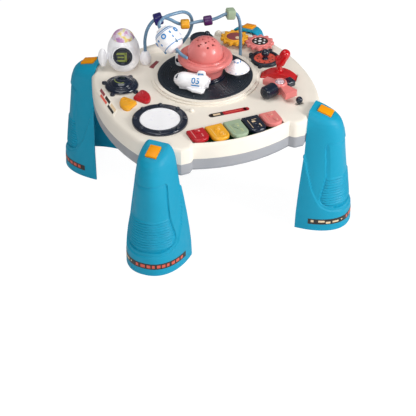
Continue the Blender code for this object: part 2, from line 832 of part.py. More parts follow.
def through_hole(x, y, radius, low=DECK_TOP - WALL - OVERRUN, high=DECK_TOP + RIM_HEIGHT + OVERRUN):
    return moved(cylinder_mesh(radius, low, high, SMALL_STEPS), (x, y, 0))


def platform():
    """Stepped rim round the turntable, its foot inside the deck's plate."""
    low = DECK_TOP - WALL / 2
    step = DECK_TOP + STEP_HEIGHT
    inner = DISC_RADIUS + DISC_ROOM
    profile = [(0, step), (inner, step), (inner, DECK_TOP + RIM_HEIGHT), (RIM_RADIUS, DECK_TOP + RIM_HEIGHT),
               (RIM_RADIUS, step), (STEP_RADIUS, step), (STEP_RADIUS, low), (0, low)]
    return moved(turned_mesh(profile, 2 * STEPS), (TABLE_X, TABLE_Y, 0))


def low_dome(x, y, length, width, height):
    """A low rounded bump whose foot lies inside the deck's plate."""
    mesh = turned_mesh(BUMP_SHARES, SMALL_STEPS)
    mesh.transform(Matrix.Diagonal((length, width, height, 1)))
    return moved(mesh, (x, y, DECK_TOP))


def gear_centres():
    second = polar(GEAR_SPACING, GEAR_TURN, (GEAR_X, GEAR_Y))
    return (GEAR_X, GEAR_Y), second


def stick_slot():
    size = (2 * STICK_SLOT_HALF, STICK_WIDTH + 2 * STICK_SIDE_FIT, 2 * RIM_HEIGHT + 2 * WALL)
    return moved(box_mesh(size), (STICK_X, STICK_Y, DECK_TOP), about_z(STICK_TURN))


def knob_slot():
    size = (2 * (KNOB_TRAVEL + KNOB_NECK + KNOB_SLOT_FIT), 2 * (KNOB_NECK + KNOB_SLOT_FIT), 2 * WALL + OVERRUN)
    return box_mesh(size, (KNOB_X, KNOB_Y, DECK_TOP - WALL / 2))


def board_post_places():
    across = BOARD_LENGTH / 2 - BOARD_POST_INSET
    along = BOARD_WIDTH / 2 - BOARD_POST_INSET
    return [(BOARD_X + a * across, BOARD_Y + b * along) for a in (-1, 1) for b in (-1, 1)]


def build_deck():
    shell = unite(deck_shell(), platform())
    bumps = [low_dome(MOUND_X, MOUND_Y, MOUND_LENGTH, MOUND_WIDTH, MOUND_HEIGHT),
             low_dome(BOSS_X, BOSS_Y, BOSS_RADIUS, BOSS_RADIUS, BOSS_HEIGHT),
             low_dome(NUB_X, NUB_Y, NUB_RADIUS, NUB_RADIUS, NUB_HEIGHT)]
    for index in range(4):
        x, y = polar(DIAL_LUG_REACH, 90 * index + 45, (DIAL_X, DIAL_Y))
        bumps.append(low_dome(x, y, DIAL_LUG_RADIUS, DIAL_LUG_RADIUS, DIAL_HEIGHT / 2))
    holes = [key_pocket(), stick_slot(), knob_slot(),
             through_hole(TABLE_X, TABLE_Y, POST_RADIUS + GAP)]
    for x, y in ((DRUM_X, DRUM_Y), (CYMBAL_X, CYMBAL_Y), (SPIN_X, SPIN_Y), (DIAL_X, DIAL_Y),
                 (REAR_DIAL_X, REAR_DIAL_Y), *gear_centres()):
        holes.append(through_hole(x, y, STEM_RADIUS + SLIDE_FIT))
    for route in (LOOP_WIRE[0], REAR_WIRE[-1]):
        holes.append(through_hole(route[0], route[1], WIRE_RADIUS + WIRE_FIT))
    for x, y, turn in ((YELLOW_X, YELLOW_Y, YELLOW_TURN), (RED_X, RED_Y, RED_TURN)):
        hole = plate_mesh(pick_outline(SLIDE_FIT), DECK_TOP - WALL - OVERRUN, DECK_TOP + RIM_HEIGHT + OVERRUN)
        holes.append(moved(hole, (x, y, 0), about_z(turn)))
    place("deck_top_shell", cut(unite(shell, *bumps), *holes), "cream")


def build_tray():
    outline = deck_outline()
    top = SEAM_Z - GAP
    rings = [[(x, y, TRAY_BOTTOM + WALL) for x, y in inset_outline(outline, TRAY_INSET + WALL)]]
    rings.append([(x, y, top) for x, y in inset_outline(outline, TRAY_INSET + WALL)])
    rings.append([(x, y, top) for x, y in inset_outline(outline, TRAY_INSET)])
    rings.append([(x, y, TRAY_BOTTOM + TRAY_EDGE) for x, y in inset_outline(outline, TRAY_INSET)])
    rings.append([(x, y, TRAY_BOTTOM) for x, y in inset_outline(outline, TRAY_INSET + TRAY_EDGE / 2)])
    tray = loft_mesh(rings)
    floor = TRAY_BOTTOM + WALL
    posts = []
    for side in (-1, 1):
        reach = side * (STICK_WIDTH / 2 + 2 * STICK_SIDE_FIT + AXLE_POST_THICK / 2)
        height = STICK_AXLE_Z + AXLE_RADIUS + WALL - floor + WALL / 2
        post = box_mesh((AXLE_POST_WIDTH, AXLE_POST_THICK, height), (0, reach, floor - WALL / 2 + height / 2))
        posts.append(moved(post, (STICK_X, STICK_Y, 0), about_z(STICK_TURN)))
    for x, y in board_post_places():
        posts.append(moved(cylinder_mesh(BOARD_POST_RADIUS, floor - WALL / 2, BOARD_Z - GAP, 12), (x, y, 0)))
    for side in (-1, 1):
        wide = BATTERY_WIDTH / 2 + 3 * SLIDE_FIT + WALL / 2
        rail = box_mesh((BATTERY_LENGTH, WALL, WALL + WALL / 2), (DOOR_X, DOOR_Y + side * wide, floor + WALL / 4))
        posts.append(rail)
    tray = unite(tray, *posts)
    door = box_mesh((DOOR_LENGTH + 2 * SLIDE_FIT, DOOR_WIDTH - 4 * WALL, WALL + 2 * OVERRUN),
                    (DOOR_X, DOOR_Y, TRAY_BOTTOM + WALL / 2))
    holes = [door]
    for index in range(SPEAKER_SLOT_COUNT):
        y = SPEAKER_Y + (index - (SPEAKER_SLOT_COUNT - 1) / 2) * SPEAKER_SLOT_PITCH
        holes.append(box_mesh((SPEAKER_SLOT_LENGTH, SPEAKER_SLOT_WIDTH, WALL + 2 * OVERRUN),
                              (SPEAKER_X, y, TRAY_BOTTOM + WALL / 2)))
    axle = cylinder_mesh(AXLE_RADIUS + GAP, -AXLE_LENGTH, AXLE_LENGTH, SMALL_STEPS)
    holes.append(moved(axle, (STICK_X, STICK_Y, STICK_AXLE_Z),
                       about_z(STICK_TURN) @ Matrix.Rotation(math.pi / 2, 4, "X")))
    place("deck_bottom_tray", cut(tray, *holes), "grey")


def build_tray_contents():
    x, y = DOOR_X, DOOR_Y
    plate = box_mesh((DOOR_LENGTH, DOOR_WIDTH - 4 * WALL - 2 * SLIDE_FIT, WALL), (x, y, TRAY_BOTTOM + WALL / 2))
    place("battery_door", plate, "grey")
    floor = TRAY_BOTTOM + WALL + GAP
    middle = floor + BATTERY_HEIGHT / 2
    case = box_mesh((BATTERY_LENGTH, BATTERY_WIDTH, BATTERY_HEIGHT), (x, y, middle))
    cell = (BATTERY_WIDTH - BATTERY_WALL * (BATTERY_ROWS + 1)) / BATTERY_ROWS
    troughs = []
    for row in range(BATTERY_ROWS):
        offset = (row - (BATTERY_ROWS - 1) / 2) * (cell + BATTERY_WALL)
        size = (BATTERY_LENGTH - 2 * BATTERY_WALL, cell, BATTERY_HEIGHT)
        troughs.append(box_mesh(size, (x, y + offset, middle - BATTERY_WALL)))
    place("battery_box", cut(case, *troughs), "slate")
    depth = SPEAKER_HEIGHT
    profile = [(0, depth), (SPEAKER_RADIUS / 2, depth), (SPEAKER_RADIUS / 2, depth / 2),
               (SPEAKER_RADIUS, depth / 4), (SPEAKER_RADIUS, 0), (0, 0)]
    place("speaker", turned_mesh(profile), "slate", (SPEAKER_X, SPEAKER_Y, floor))
    board = box_mesh((BOARD_LENGTH, BOARD_WIDTH, BOARD_THICK), (BOARD_X, BOARD_Y, BOARD_Z + BOARD_THICK / 2))
    place("circuit_board", board, "green")
    axle = cylinder_mesh(AXLE_RADIUS, -AXLE_LENGTH / 2, AXLE_LENGTH / 2, SMALL_STEPS)
    turn = about_z(STICK_TURN) @ Matrix.Rotation(math.pi / 2, 4, "X")
    place("joystick_axle", axle, "steel", (STICK_X, STICK_Y, STICK_AXLE_Z), turn)


# Legs

def leg_section(inner, outer, half, z_inner, z_outer, inset=0):
    """One D of the leg: a flat chord toward the table's centre and a rounded back."""
    reach = outer - inner - inset
    half = half - inset
    ring = []
    for step in range(LEG_POINTS + 1):
        angle = math.pi * (step / LEG_POINTS - 0.5)
        across = half * math.copysign(abs(math.sin(angle)) ** (2 / LEG_POWER), math.sin(angle))
        along = reach * abs(math.cos(angle)) ** (2 / LEG_POWER)
        ring.append((inner + along, across, z_inner + (z_outer - z_inner) * (along + inset) / (outer - inner)))
    return ring


def leg_stations():
    """Chord place, back place, half width, height at the chord and at the back, from the floor up."""
    return [
        (LEG_BASE_IN, LEG_BASE_OUT, LEG_BASE_HALF, 0, 0),
        (LEG_BASE_IN, LEG_BASE_OUT, LEG_BASE_HALF, LEG_BASE_Z, LEG_BASE_Z),
        (LEG_BASE_IN, LEG_BASE_OUT - LEG_FLANGE_STEP, LEG_BASE_HALF - LEG_FLANGE_STEP, LEG_FLANGE_Z, LEG_FLANGE_Z),
        ((LEG_BASE_IN + LEG_INNER) / 2, LEG_LOW_OUT, LEG_LOW_HALF, LEG_LOW_Z, LEG_LOW_Z),
        (LEG_INNER, LEG_MID_OUT, LEG_MID_HALF, LEG_MID_Z, LEG_MID_Z),
        (LEG_INNER, LEG_LIP_OUT - LEG_LIP_STEP, LEG_LIP_HALF - LEG_LIP_STEP / 2, LEG_LIP_Z, LEG_LIP_Z - OVERRUN),
        (LEG_INNER, LEG_LIP_OUT, LEG_LIP_HALF, LEG_LIP_Z + OVERRUN, LEG_LIP_Z + OVERRUN),
        (LEG_INNER, LEG_SHOULDER_OUT, LEG_SHOULDER_HALF, LEG_SHOULDER_Z, LEG_SHOULDER_Z - LEG_TOP_ROUND),
        (LEG_INNER, LEG_CROWN_OUT, LEG_CROWN_HALF, LEG_CROWN_Z, LEG_CROWN_Z - LEG_CROWN_DROP),
        (LEG_TOP_INNER, LEG_TOP_OUT, LEG_TOP_HALF + LEG_CROWN_DROP, LEG_TOP_Z - LEG_TOP_ROUND / 2,
         LEG_TOP_Z - LEG_TOP_DROP - LEG_TOP_ROUND / 2),
        (LEG_TOP_INNER, LEG_TOP_OUT - LEG_TOP_ROUND, LEG_TOP_HALF, LEG_TOP_Z,
         LEG_TOP_Z - LEG_TOP_DROP),
    ]


def leg_slant():
    return math.atan2(LEG_TOP_DROP, LEG_TOP_OUT - LEG_TOP_ROUND - LEG_TOP_INNER)


def latch_frame(angle):
    """Placement of the latch button: on the slanted top, Z along the slant's normal."""
    top = LEG_TOP_Z - math.tan(leg_slant()) * (LATCH_U - LEG_TOP_INNER)
    return about_z(angle) @ Matrix.Translation((LATCH_U, 0, top)) @ Matrix.Rotation(leg_slant(), 4, "Y")


def leg_mesh():
    stations = leg_stations()
    outer = loft_mesh([leg_section(*station) for station in stations])
    hollow = []
    for number, (inner, back, half, z_inner, z_outer) in enumerate(stations):
        lift = -LEG_WALL if number >= len(stations) - 2 else 0
        if number == 0:
            z_inner = z_outer = FOOT_LIP_THICK
        hollow.append(leg_section(inner - OVERRUN, back, half, z_inner + lift, z_outer + lift, LEG_WALL))
    foot = [leg_section(LEG_BASE_IN - OVERRUN, LEG_BASE_OUT, LEG_BASE_HALF, z, z, FOOT_LIP)
            for z in (-OVERRUN, FOOT_LIP_THICK + OVERRUN)]
    slot = box_mesh((LATCH_LENGTH + 2 * LATCH_FIT, LATCH_WIDTH + 2 * LATCH_FIT, 4 * LEG_WALL))
    leg = cut(cut(cut(outer, loft_mesh(hollow)), loft_mesh(foot)), moved(slot, (0, 0, 0), latch_frame(0)))
    return triangulated(leg)


def build_legs():
    corners = {"front_left": -135, "front_right": -45, "back_left": 135, "back_right": 45}
    mesh = leg_mesh()
    size = (LATCH_LENGTH, LATCH_WIDTH, LEG_WALL + LATCH_PROUD)
    middle = (LATCH_PROUD - LEG_WALL) / 2
    for corner, angle in corners.items():
        place("leg_" + corner, mesh.copy(), "turquoise", turn=about_z(angle))
        button = rounded_box(size, LATCH_PROUD / 3, (0, 0, middle))
        place("latch_button_" + corner, button, "orange", turn=latch_frame(angle))


# Turntable

def build_turntable():
    centre = (TABLE_X, TABLE_Y, 0)
    low = DECK_TOP + STEP_HEIGHT + GAP
    top = low + DISC_THICK
    bore = POST_RADIUS + SLIDE_FIT
    disc = [(bore, top), (DISC_RADIUS - GAP, top), (DISC_RADIUS, top - GAP), (DISC_RADIUS, low), (bore, low)]
    place("turntable_disc", ring_mesh(disc, 2 * STEPS), "slate", centre)
    collar_low = top + GAP
    collar_top = collar_low + COLLAR_HEIGHT
    edge = COLLAR_HEIGHT / 3
    collar = [(bore, collar_top), (COLLAR_RADIUS - edge, collar_top), (COLLAR_RADIUS, collar_top - edge),
              (COLLAR_RADIUS, collar_low), (bore, collar_low)]
    place("hub_collar", ring_mesh(collar), "navy", centre)
    foot = collar_top + GAP
    ceiling = foot + BASE_CAVITY_HEIGHT
    under = DECK_TOP - WALL - GAP
    flange = POST_RADIUS + WALL
    post = [(0, ceiling - GAP), (POST_RADIUS, ceiling - GAP), (POST_RADIUS, under), (flange, under),
            (flange, under - WALL), (0, under - WALL)]
    place("planet_post", turned_mesh(post, SMALL_STEPS), "white", centre)
    brim = foot + BRIM_HEIGHT
    half = BRIM_THICK / 2
    seat = brim - half
    base = [(0, seat), (DOME_RADIUS + SLIDE_FIT, seat), (DOME_RADIUS + SLIDE_FIT, brim + half / 2),
            (DOME_RADIUS + half, brim + half), (BRIM_RADIUS - half, brim + half), (BRIM_RADIUS, brim),
            (BRIM_RADIUS - half, brim - half), (BASE_FLARE_RADIUS, foot + BASE_FLARE_HEIGHT),
            (BASE_FOOT_RADIUS, foot + BASE_WAIST_HEIGHT), (BASE_FOOT_RADIUS, foot),
            (BASE_CAVITY_RADIUS, foot), (BASE_CAVITY_RADIUS, ceiling), (0, ceiling)]
    place("planet_base", turned_mesh(base), "pink", centre)
    dome_low = seat + GAP
    shift = dome_low + DOME_NECK
    inner = DOME_RADIUS - WALL
    spread = [90 - 18 * step for step in range(6)]
    outside = [polar(DOME_RADIUS, angle, (0, shift)) for angle in spread]
    inside = [polar(inner, angle, (0, shift)) for angle in reversed(spread)]
    profile = [(max(r, 0) if abs(r) > GAP else 0, z) for r, z in
               outside + [(DOME_RADIUS, dome_low), (inner, dome_low)] + inside]
    dome = turned_mesh(profile)
    drills = []
    for index in range(DOME_HOLE_COUNT):
        drill = cylinder_mesh(DOME_HOLE_RADIUS, inner - WALL, DOME_RADIUS + OVERRUN, 6)
        tilt = Matrix.Rotation(math.radians(45 + 20 * (index % 2)), 4, "Y")
        turn = about_z(360 * index / DOME_HOLE_COUNT) @ tilt
        drills.append(moved(drill, (0, 0, shift), turn))
    place("planet_dome", cut(dome, *drills), "pink", centre)
    lamp = moved(turned_mesh(capsule_profile(LAMP_RADIUS, LAMP_HEIGHT, LAMP_RADIUS / 2), SMALL_STEPS),
                 (0, 0, seat + GAP))
    place("projector_lamp", lamp, "white", centre)


def disc_top():
    return DECK_TOP + STEP_HEIGHT + GAP + DISC_THICK + GAP


def build_riders():
    centre = (TABLE_X, TABLE_Y)
    floor = disc_top()
    length_shares = (0.5, 0.44, 0.30, -0.34, -0.5)
    radius_shares = (0, 0.5, 1, 1, 0.62)
    profile = [(SHUTTLE_RADIUS * r, SHUTTLE_LENGTH * s) for s, r in zip(length_shares, radius_shares)]
    profile.append((0, -SHUTTLE_LENGTH / 2))
    body = moved(turned_mesh(profile, SMALL_STEPS), (0, 0, SHUTTLE_LIFT), Matrix.Rotation(math.pi / 2, 4, "Y")
                 @ Matrix.Rotation(math.pi, 4, "X"))
    foot = cylinder_mesh(SHUTTLE_RADIUS / 2, 0, SHUTTLE_LIFT, SMALL_STEPS)
    wing = box_mesh((SHUTTLE_WING_LENGTH, SHUTTLE_WING_SPAN, SHUTTLE_WING_THICK),
                    (SHUTTLE_LENGTH / 4, 0, SHUTTLE_LIFT - SHUTTLE_RADIUS / 3))
    fin_height = SHUTTLE_FIN_HEIGHT - SHUTTLE_LIFT
    fin = box_mesh((SHUTTLE_FIN_LENGTH, SHUTTLE_FIN_THICK, fin_height),
                   (SHUTTLE_LENGTH / 2 - SHUTTLE_FIN_LENGTH, 0, SHUTTLE_LIFT + fin_height / 2))
    x, y = polar(SHUTTLE_REACH, SHUTTLE_ANGLE, centre)
    place("rider_shuttle", unite(body, foot, wing, fin), "white", (x, y, floor), about_z(SHUTTLE_TURN))

    rim = SAUCER_RIM_HEIGHT
    profile = [(0, SAUCER_HEIGHT), (SAUCER_DOME_RADIUS * 0.7, SAUCER_HEIGHT - SAUCER_DOME_RADIUS * 0.3),
               (SAUCER_DOME_RADIUS, SAUCER_HEIGHT - SAUCER_DOME_RADIUS * 0.8), (SAUCER_RADIUS * 0.8, rim + WALL),
               (SAUCER_RADIUS, rim), (SAUCER_RADIUS * 0.85, rim - WALL), (SAUCER_FOOT_RADIUS, WALL),
               (SAUCER_FOOT_RADIUS, 0), (0, 0)]
    x, y = polar(SAUCER_REACH, SAUCER_ANGLE, centre)
    place("rider_saucer", turned_mesh(profile), "white", (x, y, floor))

    capsule = turned_mesh(capsule_profile(CAPSULE_RADIUS, CAPSULE_HEIGHT, CAPSULE_RADIUS * 0.9, count=4), SMALL_STEPS)
    fin = box_mesh((CAPSULE_FIN_THICK, CAPSULE_FIN_LENGTH, CAPSULE_HEIGHT * 0.7),
                   (-CAPSULE_RADIUS, 0, CAPSULE_HEIGHT * 0.35))
    x, y = polar(CAPSULE_REACH, CAPSULE_ANGLE, centre)
    place("rider_capsule", unite(capsule, fin), "white", (x, y, floor), about_z(CAPSULE_ANGLE + 90))


# Wires, beads and rocket

def along(direction):
    """The turn that lays Z along a direction, X kept level."""
    level = Vector((0, 0, 1)).cross(direction)
    side = level.normalized() if level.length > 0.01 else Vector((1, 0, 0))
    forward = direction.normalized()
    return Matrix((side, forward.cross(side), forward)).transposed().to_4x4()


def bead_frame(point):
    """The bead's place on the rear wire: it hangs a little below the wire's own line."""
    before, here, after = (Vector(co) for co in REAR_WIRE[point - 1:point + 2])
    chord = after - before
    bend = (before + after) / 2 - here
    middle = here + bend / 2 * (BEAD_LENGTH / chord.length) ** 2
    return Matrix.Translation(middle - Vector((0, 0, BEAD_SAG))) @ along(chord)


def bead_mesh(sides):
    if sides == 4:
        body = rounded_box((BEAD_ACROSS, BEAD_ACROSS, BEAD_LENGTH), BEAD_EDGE)
    else:
        half = BEAD_LENGTH / 2
        waist = BEAD_ACROSS / 2
        profile = [(0, half), (waist - BEAD_EDGE, half), (waist, half - BEAD_EDGE), (waist, BEAD_EDGE - half),
                   (waist - BEAD_EDGE, -half), (0, -half)]
        body = turned_mesh(profile, sides)
    return cut(body, cylinder_mesh(BEAD_BORE, -BEAD_LENGTH, BEAD_LENGTH, 12))


def build_wires():
    place("wire_rear", tube_mesh(smooth_route(REAR_WIRE, WIRE_SPACING), WIRE_RADIUS), "wire")
    place("wire_loop", tube_mesh(smooth_route(LOOP_WIRE, WIRE_SPACING), WIRE_RADIUS), "wire")
    socket = turned_mesh(capsule_profile(SOCKET_RADIUS, SOCKET_HEIGHT, SOCKET_ROUND), SMALL_STEPS)
    depth = REAR_WIRE[0][2] - DECK_TOP - 2 * GAP
    bore = cylinder_mesh(WIRE_RADIUS + WIRE_FIT, depth - GAP, SOCKET_HEIGHT + OVERRUN, 12)
    place("wire_foot_left", cut(socket, bore), "white", (SOCKET_X, SOCKET_Y, DECK_TOP + GAP))
    for name, point, sides, colour in (("bead_navy", 6, 4, "navy"), ("bead_orange", 11, 6, "orange"),
                                       ("bead_purple", 14, 6, "purple"), ("bead_sage", 18, 4, "sage")):
        frame = bead_frame(point)
        place(name, bead_mesh(sides), colour, frame.translation, frame.to_3x3().to_4x4())
    half = ROCKET_LENGTH / 2
    length_shares = (1, 0.72, 0.1, -0.55, -1)
    radii = (ROCKET_NOSE_RADIUS, ROCKET_RADIUS * 0.62, ROCKET_RADIUS, ROCKET_RADIUS * 0.9, ROCKET_TAIL_RADIUS)
    profile = [(0, half)] + [(radius, half * share) for radius, share in zip(radii, length_shares)] + [(0, -half)]
    bore = cylinder_mesh(ROCKET_BORE, -ROCKET_LENGTH, ROCKET_LENGTH, 12)
    direction = Vector(LOOP_WIRE[ROCKET_POINT - 1]) - Vector(LOOP_WIRE[ROCKET_POINT + 1])
    place("rocket", cut(turned_mesh(profile), bore), "white", Vector(LOOP_WIRE[ROCKET_POINT])
          - Vector((0, 0, BEAD_SAG)), along(direction))


# Robot

def build_robot():
    height_shares = (1, 0.92, 0.75, 0.49, 0.26, 0.09, 0)
    radii = (ROBOT_NECK_RADIUS, ROBOT_RADIUS * 0.76, ROBOT_RADIUS * 0.93, ROBOT_RADIUS, ROBOT_RADIUS * 0.95,
             ROBOT_RADIUS * 0.81, ROBOT_FOOT_RADIUS)
    profile = [(0, ROBOT_HEIGHT)] + [(r, ROBOT_HEIGHT * s) for r, s in zip(radii, height_shares)] + [(0, 0)]
    tilt = about_z(PORT_TURN) @ Matrix.Rotation(math.radians(90 - PORT_LIFT), 4, "X")
    seat = Matrix.Translation((0, 0, PORT_HEIGHT)) @ tilt
    pocket = cylinder_mesh(PORT_RADIUS + GAP, PORT_DEPTH - GAP, ROBOT_RADIUS + 2 * PORT_THICK, STEPS)
    floor = (ROBOT_X, ROBOT_Y, DECK_TOP + GAP)
    place("robot_body", cut(turned_mesh(profile), moved(pocket, turn=seat)), "white", floor)
    edge = PORT_THICK / 4
    port = [(0, PORT_DEPTH + PORT_THICK), (PORT_RADIUS - edge, PORT_DEPTH + PORT_THICK),
            (PORT_RADIUS, PORT_DEPTH + PORT_THICK - edge), (PORT_RADIUS, PORT_DEPTH), (0, PORT_DEPTH)]
    place("robot_porthole", moved(turned_mesh(port), turn=seat), "navy", floor)
    cap = turned_mesh(capsule_profile(ROBOT_CAP_RADIUS, ROBOT_CAP_HEIGHT, ROBOT_CAP_HEIGHT * 0.85, count=4))
    place("robot_cap", cap, "steel", (ROBOT_X, ROBOT_Y, DECK_TOP + ROBOT_HEIGHT + 2 * GAP))
    booster = turned_mesh(capsule_profile(BOOSTER_RADIUS, BOOSTER_HEIGHT, BOOSTER_RADIUS * 0.8), SMALL_STEPS)
    place("robot_booster", booster, "white", (BOOSTER_X, BOOSTER_Y, DECK_TOP + GAP))


# Press pads and keys

def build_drum():
    low = GAP
    studs = []
    edge = WALL / 2
    ring = [(DRUM_INNER, DRUM_HEIGHT), (DRUM_OUTER - edge, DRUM_HEIGHT), (DRUM_OUTER, DRUM_HEIGHT - edge),
            (DRUM_OUTER, low), (DRUM_INNER, low)]
    for index in range(DRUM_STUD_COUNT):
        x, y = polar((DRUM_INNER + DRUM_OUTER) / 2, 360 * (index + 0.5) / DRUM_STUD_COUNT)
        profile = [(0, DRUM_STUD_HEIGHT), (DRUM_STUD_RADIUS * 0.7, DRUM_STUD_HEIGHT * 0.7), (DRUM_STUD_RADIUS, 0),
                   (DRUM_STUD_RADIUS, -DRUM_STUD_HEIGHT), (0, -DRUM_STUD_HEIGHT)]
        studs.append(moved(turned_mesh(profile, 8), (x, y, DRUM_HEIGHT)))
    place("drum_ring", combine(ring_mesh(ring), joined(*studs), "UNION"), "navy", (DRUM_X, DRUM_Y, DECK_TOP))
    top = DRUM_PAD_RISE + DRUM_PAD_THICK
    radius = DRUM_INNER - SLIDE_FIT
    pad = [(0, top), (radius - edge, top), (radius, top - edge), (radius, DRUM_PAD_RISE),
           (STEM_RADIUS, DRUM_PAD_RISE), (STEM_RADIUS, -STEM_DROP), (0, -STEM_DROP)]
    place("drum_pad", turned_mesh(pad), "white", (DRUM_X, DRUM_Y, DECK_TOP))


def build_cymbal():
    radius_shares = (0.12, 0.30, 0.42, 0.56, 0.66, 0.80, 0.90, 1)
    height_shares = (1, 0.85, 0.55, 0.62, 0.42, 0.48, 0.28, 0.12)
    profile = [(0, CYMBAL_RISE + CYMBAL_HEIGHT)]
    profile += [(CYMBAL_RADIUS * r, CYMBAL_RISE + CYMBAL_HEIGHT * h) for r, h in zip(radius_shares, height_shares)]
    profile += [(CYMBAL_RADIUS, CYMBAL_RISE), (STEM_RADIUS, CYMBAL_RISE), (STEM_RADIUS, -STEM_DROP),
                (0, -STEM_DROP)]
    place("cymbal_pad", turned_mesh(profile), "navy", (CYMBAL_X, CYMBAL_Y, DECK_TOP))


def build_picks():
    for name, x, y, turn in (("yellow", YELLOW_X, YELLOW_Y, YELLOW_TURN), ("red", RED_X, RED_Y, RED_TURN)):
        mesh = plate_mesh(pick_outline(), PICK_BOTTOM, PICK_TOP, edge=PICK_EDGE)
        place("pick_" + name, mesh, name, (x, y, 0), about_z(turn))


def build_keys():
    """Each key has its origin on its hinge, under the deck behind the row."""
    for index, colour in enumerate(("red", "yellow", "sage", "navy", "pink")):
        x = key_centre_x(index)
        half = KEY_WIDTH / 2
        front = key_front(abs(x) + half)
        middle = key_front(x)
        corners = [(-half, -front), (0, -middle), (half, -front), (half, -KEY_BACK), (-half, -KEY_BACK)]
        outline = rounded_corners(corners, [KEY_CORNER, KEY_CORNER, KEY_CORNER, 0, 0], 3)
        body = plate_mesh(outline, KEY_TOP - KEY_THICK, KEY_TOP, edge=KEY_EDGE, segments=1)
        length = KEY_TAIL_FRONT + KEY_BACK - KEY_HINGE_Y + KEY_TAIL_END
        tail = box_mesh((KEY_WIDTH - 2 * KEY_CORNER / 3, length, KEY_TAIL_THICK),
                        (0, KEY_TAIL_END - KEY_HINGE_Y - length / 2, KEY_HINGE_Z))
        web_top = KEY_TOP - KEY_THICK / 2
        web_low = KEY_HINGE_Z - KEY_TAIL_THICK / 4
        web = box_mesh((KEY_WIDTH / 2, KEY_TAIL_FRONT - WALL, web_top - web_low),
                       (0, -KEY_BACK - KEY_TAIL_FRONT / 2, (web_top + web_low) / 2))
        mesh = moved(unite(body, tail, web), (0, KEY_HINGE_Y, -KEY_HINGE_Z))
        place(f"key_{index + 1}", mesh, colour, (x, -KEY_HINGE_Y, KEY_HINGE_Z))


# Gears and dials

def gear_outline(phase):
    count = 6 * GEAR_TEETH
    outline = []
    for step in range(count):
        degrees = 360 * step / count
        tooth = GEAR_TOOTH * math.cos(math.radians(GEAR_TEETH * (degrees - phase)))
        outline.append(polar(GEAR_PITCH_RADIUS + tooth, degrees))
    return outline


def build_gears():
    low = GEAR_LIFT
    high = low + GEAR_THICK
    half_tooth = 180 / GEAR_TEETH
    for name, centre, phase in zip(("orange", "pink"), gear_centres(),
                                   (GEAR_TURN, GEAR_TURN + 180 + half_tooth)):
        wheel = plate_mesh(gear_outline(phase), low, high)
        hub = [(0, high + GEAR_CAP_HEIGHT), (GEAR_CAP_RADIUS, high + GEAR_CAP_HEIGHT),
               (GEAR_CAP_RADIUS, high - GEAR_THICK / 2), (GEAR_HUB_RADIUS, high - GEAR_THICK / 2),
               (GEAR_HUB_RADIUS, GAP), (STEM_RADIUS, GAP), (STEM_RADIUS, -STEM_DROP), (0, -STEM_DROP)]
        place("gear_" + name, unite(wheel, turned_mesh(hub, SMALL_STEPS)), name, (*centre, DECK_TOP))


def build_dials():
    centre = (DIAL_X, DIAL_Y, DECK_TOP)
    edge = WALL / 3
    ring = [(DIAL_INNER, DIAL_HEIGHT), (DIAL_OUTER - edge, DIAL_HEIGHT), (DIAL_OUTER, DIAL_HEIGHT - edge),
            (DIAL_OUTER, GAP), (DIAL_INNER, GAP)]
    lugs = []
    for index in range(4):
        x, y = polar(DIAL_LUG_REACH, 90 * index + 45)
        lugs.append(moved(cylinder_mesh(DIAL_LUG_RADIUS + GAP, -WALL, DIAL_HEIGHT + WALL, 12), (x, y, 0)))
    place("dial_ring", cut(ring_mesh(ring), *lugs), "slate", centre)
    face = [(0, DIAL_FACE_THICK), (DIAL_FACE_RADIUS - edge, DIAL_FACE_THICK),
            (DIAL_FACE_RADIUS, DIAL_FACE_THICK - edge), (DIAL_FACE_RADIUS, 2 * GAP), (STEM_RADIUS, 2 * GAP),
            (STEM_RADIUS, -STEM_DROP), (0, -STEM_DROP)]
    place("dial_face", turned_mesh(face), "orange", centre)
    foot = DIAL_FACE_THICK + GAP
    neck = DIAL_NECK_RADIUS
    reach = math.degrees(math.acos(neck / DIAL_BALL_RADIUS))
    ball = [polar(DIAL_BALL_RADIUS, 90 - (90 + reach) * step / 8, (0, DIAL_BALL_LIFT)) for step in range(1, 9)]
    profile = [(0, DIAL_BALL_LIFT + DIAL_BALL_RADIUS)] + ball + [(neck, foot), (0, foot)]
    place("dial_ball", turned_mesh(profile, SMALL_STEPS), "navy", centre)

    top = REAR_DIAL_THICK
    radius = REAR_DIAL_RADIUS
    face = [(0, top), (radius - edge, top), (radius, top - edge), (radius, GAP), (STEM_RADIUS, GAP),
            (STEM_RADIUS, -STEM_DROP), (0, -STEM_DROP)]
    x, y = polar(REAR_KNOB_REACH, REAR_KNOB_ANGLE)
    knob = turned_mesh(capsule_profile(REAR_KNOB_RADIUS, REAR_KNOB_HEIGHT, REAR_KNOB_RADIUS / 2, WALL / 2), 12)
    place("rear_dial", unite(turned_mesh(face), moved(knob, (x, y, 0))), "slate",
          (REAR_DIAL_X, REAR_DIAL_Y, DECK_TOP))


# Joystick

